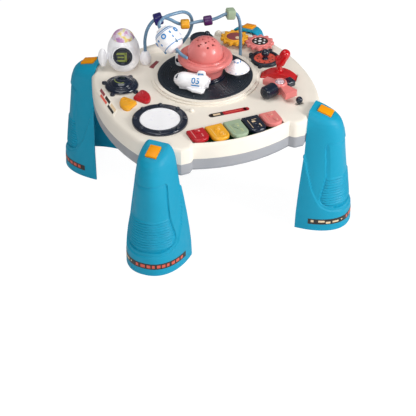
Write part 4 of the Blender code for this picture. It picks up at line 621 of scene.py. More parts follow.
disc = {"grooves": 11, "grooveDepth": 0.9, "grooveWidth": 1.7, "innermost": 40, "rim": 7, "edge": 1.2, "bore": 9.5,
        "dots": 20, "dotRadius": 1.9, "dotReaches": ((0.9, 0.67), (0.56, 0.78))}


def makeDisc():
    low, high = boxOf("turntable_disc")
    centre = middleOf("turntable_disc")
    radius, bore, edge = (high.x - low.x) / 2, disc["bore"], disc["edge"]
    profile = [(bore, low.z), (bore, high.z)]
    half, pitch = disc["grooveWidth"] / 2, (radius - disc["rim"] - disc["innermost"]) / (disc["grooves"] - 1)
    for index in range(disc["grooves"]):
        r, floor = disc["innermost"] + pitch * index, high.z - disc["grooveDepth"]
        profile += [(r - half, high.z), (r - half * 0.5, floor), (r + half * 0.5, floor), (r + half, high.z)]
    profile += arcPoints((radius - edge, high.z - edge), edge, 90, 0, 6) + [(radius, low.z), (bore, low.z)]
    putFor("turntable_disc", "turntable_record", spunAt(profile, centre, 128), "slateSoftTouch", 30)
    dots = []
    for index in range(disc["dots"]):
        for reach in disc["dotReaches"][index % 2]:
            spot = polar(radius * reach, 360 * index / disc["dots"] + math.degrees(reach), centre)
            dots.append(ballMesh(disc["dotRadius"], (*spot, high.z), (1, 1, 0.55), 6))
    putPiece("turntable_dots", gathered(dots), "navyAbs", "turntable")
    low, high = boxOf("hub_collar")
    radius, step = (high.x - low.x) / 2, (high.z - low.z) / 3
    profile = [(bore, low.z), (bore, high.z), (radius - 3.4 * step, high.z)]
    profile += arcPoints((radius - 2.2 * step, high.z - 0.6 * step), 0.6 * step, 90, 0, 5)
    profile += [(radius - 1.6 * step, high.z - 1.2 * step)] + arcPoints((radius - step, low.z + step), step, 90, 0, 6)
    profile += [(radius, low.z), (bore, low.z)]
    putFor("hub_collar", "turntable_collar", spunAt(profile, centre), "navyAbs", 35)


makeDisc()

# star and dot holes pierce the dome, its tilts in degrees from the top
planet = {"brimHalf": 5.0, "wall": 2.4, "drillDepth": 6, "starRadius": 3.6, "stars": 9, "starTilt": 24, "dots": 18,
          "foot": ((41.5, 20.6), (37.5, 17), (34.4, 12.4), (32.2, 6), (31, 0))}


def starPoints(radius):
    return [polar(radius * (0.42 if k % 2 else 1), 36 * k) for k in range(10)]


def makePlanet():
    low, high = boxOf("planet_base")
    centre = middleOf("planet_base")
    domeLow, domeHigh = boxOf("planet_dome")
    brim, dome = (high.x - low.x) / 2, (domeHigh.x - domeLow.x) / 2
    half, top, wall = planet["brimHalf"], high.z, planet["wall"]
    profile = [(0, top - 2 * half), (dome + 0.4, top - 2 * half), (dome + 0.4, top - 1.2)]
    profile += arcPoints((dome + 1.6, top - 1.2), 1.2, 180, 90, 4)
    profile += [(dome + 5.6, top + 0.2), (dome + 6.4, top - 1.2), (dome + 7.4, top - 1.1)]
    profile += arcPoints((brim - half, top - half), half, 84, -90, 14) + [(brim - half - 3, top - 2.15 * half)]
    profile += [(r, low.z + z) for r, z in planet["foot"]] + [(0, low.z)]
    putFor("planet_base", "planet_brim", spunAt(profile, centre, 128), "pinkAbs")
    seat = shift(centre.x, centre.y, domeHigh.z - dome)
    profile = arcPoints((0, 0), dome, 90, 0, 28)
    profile += [(dome, domeLow.z - domeHigh.z + dome), (dome - wall, domeLow.z - domeHigh.z + dome)]
    shell = spunMesh(profile + arcPoints((0, 0), dome - wall, 0, 90, 20), seat)
    piece = putFor("planet_dome", "planet_light_dome", shell, "pinkAbs")
    drills = []
    low, high = dome - planet["drillDepth"], dome + planet["drillDepth"] / 2
    for index in range(planet["stars"]):
        turn = turned(360 * index / planet["stars"] + 12) @ turned(planet["starTilt"] + 14 * (index % 2), "Y")
        drills.append(placed(flatMesh(starPoints(planet["starRadius"]), low, high), seat @ turn))
    for index in range(planet["dots"]):
        turn = turned(360 * index / planet["dots"] + 20 * (index % 3)) @ turned(10 + 11 * (index % 4), "Y")
        drills.append(rodMesh(1.0 + 0.45 * (index % 3), low, high, seat @ turn, 10))
    carve(piece, drills)


makePlanet()
print("turntable and planet made")

robot = {
    "place": (-108, 120), "foot": 220.3, "height": 61,
    "profile": ((20.4, 61), (23.6, 55.4), (27.6, 45.8), (29.5, 31), (28.6, 17.5), (25, 7), (20, 0.4)),
    "capGap": 0.3, "cap": ((0.01, 15), (6.6, 14), (12.2, 11.2), (16.8, 6.8), (20.2, 0.6), (20.1, 0)),
    "portTurn": -23, "portLift": 8, "portHeight": 33, "portRadius": 17, "portFrom": 21.5, "portThick": 9,
    # across, up, width and height of the display's bars, from the window's middle
    "bars": ((-2.2, 5.4, 18.6, 4.0), (-3.6, -1.4, 11.4, 2.8), (-2.2, -8.2, 18.6, 4.0), (5.2, -1.4, 4.2, 17.4)),
    "arm": (8.4, 10.6, 17.6), "armLift": 6, "armTurn": -18, "socketBore": 3.4, "boreFoot": 12,
}


def makeRobot():
    x, y = robot["place"]
    foot, height = robot["foot"], robot["height"]
    outline = [(0, height)] + smoothPoints(robot["profile"], 8) + [(0, 0)]
    body = putFor("robot_body", "robot_shell", spunMesh(outline, shift(x, y, foot)), "whiteAbs")
    seat = shift(x, y, foot + robot["portHeight"]) @ turned(robot["portTurn"]) @ turned(90 - robot["portLift"], "X")
    radius, low = robot["portRadius"], robot["portFrom"]
    high = low + robot["portThick"]
    carve(body, [rodMesh(radius + 0.3, low - 0.3, high + 9, seat, 64)], 50)
    gap = radius + 0.4
    collar = [(gap, low), (gap, high - 1.4)] + arcPoints((radius + 1.4, high - 2.0), 1.1, 120, -20, 8)
    collar += [(radius + 5.5, low), (gap, low)]
    putPiece("robot_porthole_collar", spunMesh(collar, seat, 72), "whiteAbs")
    ring = [(0, low), (radius, low), (radius, high - 1.8)] + arcPoints((radius - 1.8, high - 1.8), 1.8, 0, 90, 8)
    ring += [(radius - 3.4, high - 0.2)] + arcPoints((radius - 3.4, high - 1.4), 1.2, 90, 180, 5)
    ring += [(radius - 4.8, high - 2.6), (0, high - 2.6)]
    putFor("robot_porthole", "robot_porthole_ring", spunMesh(ring, seat, 72), "navyAbs", 40)
    bars = [blockMesh((width, tall, 0.5), (across, up, high - 2.3), 0.2) for across, up, width, tall in robot["bars"]]
    putPiece("robot_porthole_bars", gathered(bars, seat), "printOlive")
    cap = [(0, robot["cap"][0][1])] + smoothPoints(robot["cap"], 8) + [(0, 0)]
    cap = spunMesh(cap, shift(x, y, foot + height + robot["capGap"]))
    putFor("robot_cap", "robot_light_cap", cap, pearlPlastic())
    arm = ballMesh(1, (0, 0, 0), robot["arm"])
    lift = Matrix.Translation(middleOf("robot_booster")) @ shift(0, 0, robot["armLift"])
    putFor("robot_booster", "robot_left_arm", placed(arm, lift @ turned(robot["armTurn"])), "whiteAbs", 60)
    low, high = boxOf("wire_foot_left")
    middle, tall, bore = middleOf("wire_foot_left"), high.z - low.z, robot["socketBore"]
    socket = [(bore, tall), (5.4, tall - 2), (8, tall - 6.5), (10.2, tall - 13), (10.4, tall * 0.32),
              (8.6, tall * 0.1), (7, 0)]
    seat = shift(middle.x, middle.y, low.z)
    mesh = spunMesh([(0, tall), (bore, tall)] + smoothPoints(socket) + [(0, 0)], seat, 64)
    piece = putFor("wire_foot_left", "robot_right_arm", mesh, "whiteAbs")
    carve(piece, [rodMesh(bore, robot["boreFoot"], tall + 3, seat)], 50)


makeRobot()
print("robot made")

wires = {
    "radius": 3.0,
    "rear": ((-68, 114.7, 234.5), (-68, 114.7, 250), (-68.5, 114, 268), (-66, 112, 286), (-61, 110, 299),
             (-54, 108.5, 308), (-45, 107, 312), (-34, 104, 313), (-23, 100, 308.5), (-15, 97.2, 303),
             (-7.5, 94.6, 299.5), (1, 92, 298.5), (10.5, 88.8, 299.5), (26, 84, 302.5), (41, 79, 304),
             (51, 76, 306), (59, 73, 309.5), (69.5, 70, 314.5), (80, 67.5, 316), (90.5, 67, 312.5),
             (97.5, 68, 298), (101, 70, 272), (103, 73, 246), (103.5, 74.5, 228), (103.5, 74.5, 214.5)),
    "loop": ((0, 130, 214.5), (0, 130, 225), (3, 125, 236), (10, 116, 252), (17, 108, 272), (19, 102, 293),
             (12, 95.5, 313), (-2, 90.5, 324.5), (-20, 87, 327), (-39, 85, 325.5), (-51, 81.5, 319),
             (-54.5, 76.2, 313.7), (-50, 65.6, 306.1), (-45.5, 55, 298.4), (-41, 44.4, 290.7),
             (-36.5, 33.8, 283), (-32.2, 23.5, 278.5), (-28, 14, 277.5)),
    "beadLength": 16, "beadAcross": 18, "beadEdge": 3.2, "beadBore": 4.4, "sag": 0.3,
    # node, the wire's point that it sits at, sides and finish
    "beads": (("bead_navy", 6, 4, "indigoAbs"), ("bead_orange", 11, 6, "yellowAbs"),
              ("bead_purple", 14, 6, "purpleAbs"), ("bead_sage", 18, 4, "sageAbs")),
}


def along(direction):
    # the turn that lays Z along a direction with X kept level
    level = Vector((0, 0, 1)).cross(direction)
    side = level.normalized() if level.length > 0.01 else Vector((1, 0, 0))
    forward = direction.normalized()
    return Matrix((side, forward.cross(side), forward)).transposed().to_4x4()


def tubeMesh(points, radius):
    # a round tube on a smooth run through the points
    curve = bpy.data.curves.new("tube", "CURVE")
    curve.dimensions = "3D"
    curve.bevel_depth = radius
    curve.bevel_resolution = 6
    curve.use_fill_caps = True
    fine = smoothPoints(points, 8)
    spline = curve.splines.new("POLY")
    spline.points.add(len(fine) - 1)
    for point, co in zip(spline.points, fine):
        point.co = (*co, 1)
    return curveMesh(curve)


def beadPlace(point):
    before, here, after = (Vector(co) for co in wires["rear"][point - 1:point + 2])
    chord = after - before
    bend = (before + after) / 2 - here
    middle = here + bend / 2 * (wires["beadLength"] / chord.length) ** 2
    return Matrix.Translation(middle) @ shift(0, 0, -wires["sag"]) @ along(chord)


def makeWires():
    tubes = {route: tubeMesh([Vector(co) for co in wires[route]], wires["radius"]) for route in ("rear", "loop")}
    end = ballMesh(wires["radius"], wires["loop"][-1], divisions=12)
    putFor("wire_rear", "wire_rear_tube", tubes["rear"], "wirePlastisol", 60)
    putFor("wire_loop", "wire_loop_tube", gathered([tubes["loop"], end]), "wirePlastisol", 60)
    half, waist, edge = wires["beadLength"] / 2, wires["beadAcross"] / 2, wires["beadEdge"]
    for node, point, sides, finish in wires["beads"]:
        place = beadPlace(point)
        if sides == 4:
            mesh = placed(blockMesh((2 * waist, 2 * waist, 2 * half), edge=edge, segments=5), place)
        else:
            profile = [(0, half)] + arcPoints((waist - edge, half - edge), edge, 90, 0, 6)
            profile += arcPoints((waist - edge, edge - half), edge, 0, -90, 6) + [(0, -half)]
            mesh = spunMesh(profile, place, 64)
        piece = putFor(node, node + "_shell", mesh, finish)
        carve(piece, [rodMesh(wires["beadBore"], -2 * half, 2 * half, place)], 50)


makeWires()

rocket = {"point": 13, "half": 23, "bore": 3.9,
          "profile": ((7, 23), (10, 22.4), (11, 19.8), (15.6, 17.4), (20, 11.4), (22.4, 4), (22.6, -3), (20.6, -12),
                      (16.4, -20), (13, -23)),
          "bands": ((14.6, 1.8), (11.2, 1.2), (-15.6, 1.2)), "windows": 5, "windowLift": 3.4,
          "window": ((2.6, 0.2), (2.8, 0.6), (4.6, 0.5), (4.9, -0.4), (2.6, -0.4), (2.6, 0.2)),
          "dashes": ((3.4, 3.0), (-5.4, 2.4)), "fins": 3, "finPlace": (15.6, 0, -9),
          "fin": ((0, 0), (5.4, -2), (5.6, -9), (4.6, -10), (0, -9))}


def radiusAt(profile, height):
    for a, b in zip(profile, profile[1:]):
        if b[1] <= height <= a[1]:
            return a[0] + (b[0] - a[0]) * (a[1] - height) / (a[1] - b[1])
    return profile[-1][0]


def makeRocket():
    here = [Vector(co) for co in wires["loop"][rocket["point"] - 1:rocket["point"] + 2]]
    lay = Matrix.Translation(here[1]) @ shift(0, 0, -wires["sag"]) @ along(here[0] - here[2])
    outline = smoothPoints(rocket["profile"], 5)
    bore, half = rocket["bore"], rocket["half"]
    profile = [(bore, half)] + outline + [(bore, -half), (bore, half)]
    putFor("rocket", "rocket_shell", spunMesh(profile, lay, 80), "whiteAbs")
    marks = []
    for height, width in rocket["bands"]:
        rows = [height + width / 2 - width * k / 4 for k in range(5)]
        marks.append(spunMesh([(radiusAt(outline, z) + 0.12, z) for z in rows], steps=80))
    for index in range(rocket["windows"]):
        turn = turned(360 * index / rocket["windows"] + 40)
        seat = turn @ shift(radiusAt(outline, 1), 0, rocket["windowLift"]) @ turned(90, "Y")
        marks.append(spunMesh(rocket["window"], seat, 32))
        for lift, wide in rocket["dashes"]:
            seat = turn @ turned(36) @ shift(radiusAt(outline, lift) - 0.1, 0, lift)
            marks.append(placed(blockMesh((0.9, wide, 4.4), edge=0.2), seat))
    putPiece("rocket_blue_marks", gathered(marks, lay), "printBlue", "loop_rocket")
    fins = [placed(flatMesh(rocket["fin"], -1.0, 1.0, 0.4),
                   turned(360 * k / rocket["fins"] + 200) @ shift(*rocket["finPlace"]) @ turned(90, "X"))
            for k in range(rocket["fins"])]
    putPiece("rocket_fins", gathered(fins, lay), "wirePlastisol", "loop_rocket")


makeRocket()
print("wires, beads and rocket made")

# place: reach from the hub, angle round it and the vehicle's own turn
rider = {"floor": 227.6, "hub": (13, 27),
         "shuttle": (53, -141.4, -36), "saucer": (57.5, -21, 0), "capsule": (56, 118, 208)}
shuttle = {"radius": 14.2, "half": 31, "lift": 14.4,
           "wing": ((-14, 8), (8, 22), (24, 24), (28, 20), (28, -20), (24, -24), (8, -22), (-14, -8)),
           "fin": ((4, 24), (9, 27), (13, 34.6), (16, 36), (23, 36), (26, 34.4), (28, 24), (28, 16), (4, 16)),
           "nozzle": ((0, 0), (4.6, 0), (5.6, -5), (4.8, -5), (3.6, -1.2), (0, -1.2)), "nozzleAside": 7,
           "pane": (3.4, 9.4, 2.6), "paneLean": -44,
           "stripes": (((9, 0.5, 2.4), (18.6, 31.4)), ((3, 0.5, 6), (14.6, 28)))}


def riderPlace(name):
    reach, angle, turn = rider[name]
    return shift(*polar(reach, angle, rider["hub"]), rider["floor"]) @ turned(turn)


def wrapped(mesh, radius, lift):
    # bends a flat print round a drum that lies along X, at this height over its own origin
    for vert in mesh.vertices:
        angle = vert.co.y / radius
        reach = radius + vert.co.z
        vert.co = (vert.co.x, reach * math.sin(angle), lift + reach * math.cos(angle))
    return mesh


def makeShuttle():
    place = riderPlace("shuttle")
    radius, half, lift = shuttle["radius"], shuttle["half"], shuttle["lift"]
    lay = shift(0, 0, lift) @ turned(-90, "Y")
    outline = ((0.01, half), (4.4, half - 0.9), (8.4, half - 3.8), (11.8, half - 9), (radius, half - 17), (radius, 0),
               (radius, -20), (12.8, -26), (9.6, -half))
    parts = [spunMesh([(0, half)] + smoothPoints(outline, 5) + [(0, -half)], lay, 72),
             blockMesh((46, 21, 9), (3, 0, 4.8), 3), flatMesh(shuttle["wing"], 4.4, 8.6, 1.4, 4),
             placed(flatMesh(shuttle["fin"], -2.4, 2.4, 1.2, 4), turned(90, "X"))]
    for side in (-1, 1):
        seat = shift(28, side * shuttle["nozzleAside"], lift) @ turned(-90, "Y")
        parts.append(spunMesh(shuttle["nozzle"], seat, 32))
    putFor("rider_shuttle", "shuttle_shell", gathered(parts, place), "whiteAbs", 45)
    dark, marks = [], []
    for side in (-1, 1):
        seat = shift(-23.6, 5.4 * side, lift + 9.2) @ turned(shuttle["paneLean"], "Y") @ turned(18 * side)
        dark.append(placed(blockMesh(shuttle["pane"], edge=1), seat))
        mark = gathered([digitsMesh("05", 15, 0.1), blockMesh((15, 2.6, 0.2), (0, -8.2, 0))], turned(90 + 90 * side))
        marks.append(wrapped(placed(mark, shift(11, side * 14.6, 0.05)), radius, lift))
        marks += [blockMesh(size, (x, side * 2.3, z)) for size, (x, z) in shuttle["stripes"]]
    dark.append(spunMesh([(radius + 0.05, 7.4), (radius + 0.05, 8.2)], lay, 48))
    putPiece("shuttle_windows", gathered(dark, place), "navyAbs", "turntable")
    putPiece("shuttle_digits", gathered(marks, place), "printBlue", "turntable")


saucer = {"cone": ((0.01, 28), (3.4, 27.6), (5.8, 25.8), (6.4, 23.8), (7.6, 22.6), (11, 21), (14.6, 18.6),
                   (17.8, 15.6), (20.4, 12.6), (22.3, 10.4), (22.2, 9.2), (20, 8.2), (15, 5.6), (11, 3.2),
                   (9.2, 1.2), (9, 0)),
          "grooves": (7.6, 20.4), "groovePitch": 2.6, "grooveDepth": 0.4, "panes": 6, "lamps": 12}


def makeSaucer():
    place = riderPlace("saucer")
    shell = spunMesh([(0, 28)] + smoothPoints(saucer["cone"], 9) + [(0, 0)])
    inner, outer = saucer["grooves"]
    for vert in shell.vertices:
        # shallow ring grooves on the cone between nub and rim
        reach = math.hypot(vert.co.x, vert.co.y)
        if inner < reach < outer and vert.co.z > 10:
            fade = min((reach - inner) / 2, (outer - reach) / 2, 1)
            vert.co.z += saucer["grooveDepth"] * fade * math.cos(math.tau * reach / saucer["groovePitch"])
    putFor("rider_saucer", "saucer_shell", placed(shell, place), "whiteAbs")
    marks = [placed(blockMesh((1.4, 4.0, 2.2), (5.7, 0, 25.0), 0.3), turned(360 * k / saucer["panes"] + 15))
             for k in range(saucer["panes"])]
    marks += [placed(ballMesh(1.1, (21.0, 0, 11.4), (1, 1, 0.5), 8), turned(360 * k / saucer["lamps"]))
              for k in range(saucer["lamps"])]
    putPiece("saucer_marks", gathered(marks, place), "printBlue", "turntable")


capsule = {"outline": ((0.01, 24), (4.4, 23.4), (8.2, 20.6), (10.4, 16), (11, 11), (11, 5), (10.2, 1.4), (8.6, 0)),
           "fin": ((-6, 0), (6, 0), (5, 10), (2.4, 16.6), (-2.4, 16.6), (-5, 10)),
           "pane": ((0, 0.5), (3.6, 0.4), (4.2, -0.6), (0, -0.6))}


def makeCapsule():
    place = riderPlace("capsule")
    shell = spunMesh([(0, 24)] + smoothPoints(capsule["outline"]) + [(0, 0)], steps=64)
    fin = placed(flatMesh(capsule["fin"], -2.0, 2.0, 0.8, 3), shift(-11) @ turned(90) @ turned(90, "X"))
    putFor("rider_capsule", "capsule_shell", gathered([shell, fin], place), "whiteAbs")
    pane = spunMesh(capsule["pane"], place @ shift(10.9, 0, 12) @ turned(90, "Y"), 32)
    putPiece("capsule_window", pane, "navyAbs", "turntable")


makeShuttle()
makeSaucer()
makeCapsule()
print("vehicles made")

pad = {"foot": 220.4, "drum": (-115, -75), "drumInner": 35.5, "drumOuter": 48.5, "drumTop": 225.5,
       "studs": 8, "studRadius": 3.9, "studInset": 5.2,
       "cymbal": (-136, 57), "cymbalFoot": 222.5, "cymbalTop": 13.5,
       "ridges": ((0.01, 13.5), (5, 13.3), (10, 12.6), (14, 11.4), (17.4, 9.5), (19, 7.9), (19.8, 6.6), (22.4, 6.4),
                  (23.6, 6.0), (24.2, 4.9), (26.8, 4.4), (28.4, 3.6), (29.4, 2.4), (30, 1.0)),
       "lugs": (-62, 42, 140, -140), "lugReach": 33,
       "mark": ((11.6, 234.4), (11.6, 234.62), (12.8, 234.3), (12.8, 234.0)), "markLift": 0.35,
       "markSweep": 120, "markTurn": 150}


def makeDrum():
    top, inner, outer, foot = pad["drumTop"], pad["drumInner"], pad["drumOuter"], pad["foot"]
    ring = [(inner, top - 4.4), (inner, top - 0.9)] + arcPoints((inner + 0.9, top - 0.9), 0.9, 180, 90, 4)
    ring += arcPoints((outer - 2.6, top - 2.6), 2.6, 90, 0, 8) + [(outer, foot), (inner, foot), (inner, top - 4.4)]
    meshes = [spunAt(ring, pad["drum"], 128)]
    for index in range(pad["studs"]):
        spot = polar(outer - pad["studInset"], 360 * (index + 0.5) / pad["studs"], pad["drum"])
        meshes.append(ballMesh(pad["studRadius"], (*spot, top + 0.4), (1.0, 1.0, 0.85), 16))
    putFor("drum_ring", "drum_rim", gathered(meshes), "navyAbs", 40)
    face, radius = boxOf("drum_pad")[1].z, inner - 0.5
    skin = [(0, face - 0.7), (6, face - 0.66), (radius - 5, face - 0.3)]
    skin += arcPoints((radius - 1.2, face - 1.2), 1.2, 100, 0, 6) + [(radius, face - 3.4), (0, face - 3.4)]
    putFor("drum_pad", "drum_head", spunAt(skin, pad["drum"], 128), drumSkin(), 40)


def makeCymbal():
    base = pad["cymbalFoot"]
    profile = [(0, pad["cymbalTop"])] + smoothPoints(pad["ridges"], 4) + [(30, 0), (0, 0)]
    putFor("cymbal_pad", "cymbal_dish", spunMesh(profile, shift(*pad["cymbal"], base), 128), "navyAbs", 30)
    lugs = []
    lug = [(0, 224.2), (1.6, 224.2)] + arcPoints((3.4, 222.6), 1.1, 90, 0, 4) + [(4.5, 220.1), (0, 220.1)]
    for angle in pad["lugs"]:
        spot = polar(pad["lugReach"], angle, pad["cymbal"])
        lugs += [spunAt(lug, spot, 32), ballMesh(1.7, (*spot, 224.2), (1, 1, 0.7), 10)]
    putPiece("cymbal_lugs", gathered(lugs), "navyAbs")
    seat = shift(*pad["cymbal"], pad["markLift"]) @ turned(pad["markTurn"])
    putPiece("cymbal_mark", spunMesh(pad["mark"], seat, 60, pad["markSweep"]), "printOlive", bodyOf("cymbal_pad"))


makeDrum()
makeCymbal()

# place and turn of each pick, the finish, and its three reliefs
pick = {"pick_yellow": (-145.7, -4.2, -11, "yellowAbs", (("star", 5.6), ("ring", 5.2), ("drop", 5.4))),
        "pick_red": (-117.8, 6.7, 171, "keyRedAbs", (("bolt", 5.6), ("star", 5.4), ("dots", 5.6)))}
reliefSpots = ((4, 0), (-7, 10), (-7, -10))
bolt = ((-0.25, 1), (0.5, 1), (0.15, 0.25), (0.6, 0.25), (-0.3, -1), (-0.02, -0.15), (-0.5, -0.15))


def embossed(kind, size, low=-0.4, high=0.9):
    # low generic shapes for keys and picks: ring, star, bolt, drop and dots
    if kind == "ring":
        profile = [(size * 0.62, low)] + arcPoints((size * 0.81, 0), size * 0.19, 180, 0, 8) + [(size, low)]
        return [spunMesh([(r, min(z, high)) for r, z in profile], steps=48)]
    if kind == "star":
        return [flatMesh(starPoints(size), low, high, 0.4, 3)]
    if kind == "bolt":
        return [flatMesh([(x * size, y * size) for x, y in bolt], low, high, 0.4, 3)]
    if kind == "drop":
        outline = [(size * 0.62 * math.sin(a) * math.sin(a / 2), -size * math.cos(a)) for a in
                   (math.tau * step / 32 for step in range(32))]
        return [flatMesh(outline, low, high, 0.35, 3)]
    return [ballMesh(size * 0.24, (*polar(size * 0.7, 60 * step), 0), (1, 1, 0.6), 8) for step in range(6)]


def emboss(node, parts, spots, finish):
    # parts are (kind, size), spots are the places they stand at
    meshes = [placed(mesh, shift(x, y, z) @ turned(turn)) for (kind, size), (x, y, z, turn) in zip(parts, spots)
              for mesh in embossed(kind, size)]
    putPiece(node + "_relief", gathered(meshes), finish, bodyOf(node), 35)


def makePicks():
    for node, (x, y, turn, finish, parts) in pick.items():
        dressNode(node, finish, 0.8, 30)
        top = boxOf(node)[1].z
        spots = []
        for reach, aside in reliefSpots:
            place = shift(x, y, top) @ turned(turn) @ Vector((reach, aside, 0))
            spots.append((*place, turn + 20 + 30 * aside))
        emboss(node, parts, spots, finish)


makePicks()

# finish, ink and the two reliefs of each key
keyRow = (("keyRedAbs", "printPaleRed", (("star", 7), ("dots", 5))),
          ("yellowAbs", "printPaleYellow", (("bolt", 8), ("ring", 4.5))),
          ("sageAbs", "printPaleSage", (("drop", 8), ("dots", 5))),
          ("navyAbs", "printSand", (("ring", 7), ("star", 5))),
          ("pinkAbs", "printPalePink", (("star", 6), ("drop", 6))))
# size and place of the printed lines, from the key's middle and front
keyLines = (((0.9, 26, 0.6), (-9, 21)), ((9, 0.9, 0.6), (3, 33)), ((9, 4.5, 0.6), (1, 27)))


def makeKeys():
    for index, (finish, ink, shapes) in enumerate(keyRow):
        node = f"key_{index + 1}"
        low, high = boxOf(node)
        dressNode(node, finish, 0.9, 30, 4)
        x, front, top = (low.x + high.x) / 2, low.y, high.z
        emboss(node, shapes, ((x - 1, front + 25, top, 15 * index - 20), (x + 3, front + 11, top, 0)), finish)
        marks = [blockMesh(size, (x + across, front + up, top)) for size, (across, up) in keyLines]
        marks.append(placed(digitsMesh(str(index + 1), 13, 0.3), shift(x + 5, front + 12, top + 0.1)))
        putPiece(node + "_digit", gathered(marks), ink, bodyOf(node))


makeKeys()

# plain patches stuck on the deck: ink, middle, length, width, turn, height and the sides with a round end
label = {"face": 220.0,
         "patches": (("printBlack", (-15.5, -94.7), 21, 11, -3, 0.35, (-1,)),
                     ("printKeyRed", (16.6, -96.5), 43, 11, -3, 0.35, (1,)),
                     ("printSand", (-17, -94.7), 13, 4.4, -3, 0.7, ()),
                     ("printMaroon", (-52, 101), 26, 17, 38, 0.35, ()),
                     ("printCoral", (14, -96.5), 30, 1.6, -3, 0.7, ()))}


def makeLabels():
    for index, (ink, middle, length, width, turn, high, ends) in enumerate(label["patches"]):
        meshes = [blockMesh((length, width, 2 * high))]
        meshes += [rodMesh(width / 2, -high, high, shift(side * length / 2)) for side in ends]
        patch = gathered(meshes, shift(*middle, label["face"]) @ turned(turn))
        putPiece(f"deck_label_{index}", patch, ink)


# slanting panel by the left edge: corners at the inner and outer edge, and blocks as shares across and along
sticker = {"corners": ((-171, 70), (-184, 53), (-171, -15)), "thick": 0.7,
           "blocks": (("printMaroon", 0.1, 0.5, 0.05, 0.3), ("printBlack", 0.1, 0.5, 0.36, 0.62),
                      ("printSand", 0.1, 0.5, 0.68, 0.95), ("printCoral", 0.58, 0.92, 0.16, 0.52),
                      ("printBlack", 0.58, 0.92, 0.6, 0.92))}


def stickerSlab(shares, low, high, edge=0.0):
    start, across, along = (Vector(corner) for corner in sticker["corners"])
    s0, s1, t0, t1 = shares
    corners = ((s0, t0), (s1, t0), (s1, t1), (s0, t1))
    return flatMesh([start + (across - start) * s + (along - start) * t for s, t in corners], low, high, edge)


def makeSticker():
    face, thick = label["face"], sticker["thick"]
    frameSlab = stickerSlab((0, 1, 0, 1), face - 0.3, face + thick, 0.4)
    putPiece("deck_sticker_frame", frameSlab, "creamAbs")
    for index, (ink, *shares) in enumerate(sticker["blocks"]):
        putPiece(f"deck_sticker_{index}", stickerSlab(shares, face, face + thick + 0.2), ink)


makeLabels()
makeSticker()
print("pads, picks, keys and labels made")

# centre, phase, finish and the inks of disc and print
gear = {"teeth": 12, "points": 240, "pitch": 24.4, "tooth": 2.6, "blunt": 0.7, "tip": 0.78,
        "low": 229.2, "high": 234.7, "foot": 220.4,
        "rim": ((14.9, -0.4), (15.1, 0.8), (15.7, 1.4), (16.9, 1.4), (17.8, 0.7), (18.2, -0.4)),
        "disc": ((0, 0.55), (14.2, 0.55), (15.0, 0.2), (15.0, -0.6), (0, -0.6)),
        "printLift": 0.6, "spots": 6, "spotReach": 9.4,
        "wheels": {"gear_orange": ((111, 118), -44, "yellowAbs", "printMaroon", "printSand"),
                   "gear_pink": ((146.97, 83.27), 151, "pinkAbs", "printBlack", "whiteAbs")}}


def gearOutline(phase):
    points = []
    for step in range(gear["points"]):
        angle = 360 * step / gear["points"]
        wave = math.cos(math.radians(gear["teeth"] * (angle - phase)))
        blunt = math.copysign(abs(wave) ** gear["blunt"], wave)
        points.append(polar(gear["pitch"] + gear["tooth"] * (blunt if blunt < 0 else blunt * gear["tip"]), angle))
    return points


def makeGears():
    low, high, foot = gear["low"], gear["high"], gear["foot"]
    for node, (middle, phase, finish, discInk, ink) in gear["wheels"].items():
        face = shift(*middle, high)
        wheel = placed(flatMesh(gearOutline(phase), low, high, 1.1, 4), shift(*middle))
        hub = spunAt([(0, high), (12.5, high + 0.1), (9, high + 0.1), (9, low - 0.1), (9, foot), (0, foot)], middle, 48)
        whole = gathered([wheel, spunMesh(smoothPoints(gear["rim"], 4), face, 72), hub])
        putFor(node, node + "_wheel", whole, finish, 35)
        putPiece(node + "_disc", spunMesh(gear["disc"], face, 64), discInk, bodyOf(node))
        face = face @ shift(0, 0, gear["printLift"])
        if node == "gear_orange":
            meshes = [slabMesh(8, 9, face @ shift(3, -7) @ turned(-30))]
        else:
            meshes = [slabMesh(4.4 if k % 2 else 2.8, 4.6, face @ turned(60 * k) @ shift(gear["spotReach"]))
                      for k in range(gear["spots"])]
            meshes.append(rodMesh(3.4, -0.2, 0.2, face, 24))
        putPiece(node + "_print", gathered(meshes), ink, bodyOf(node))


makeGears()

dial = {"centre": (137.5, 39), "foot": 220.4, "inner": 21.3, "outer": 26.5, "top": 227, "faceRadius": 20.8,
        "faceTop": 224, "ball": 7.6, "ballMiddle": 235.5, "lugs": 4, "lugReach": 27.5,
        "notch": (4.3, 217, 230), "dots": 9, "dotReach": 14}


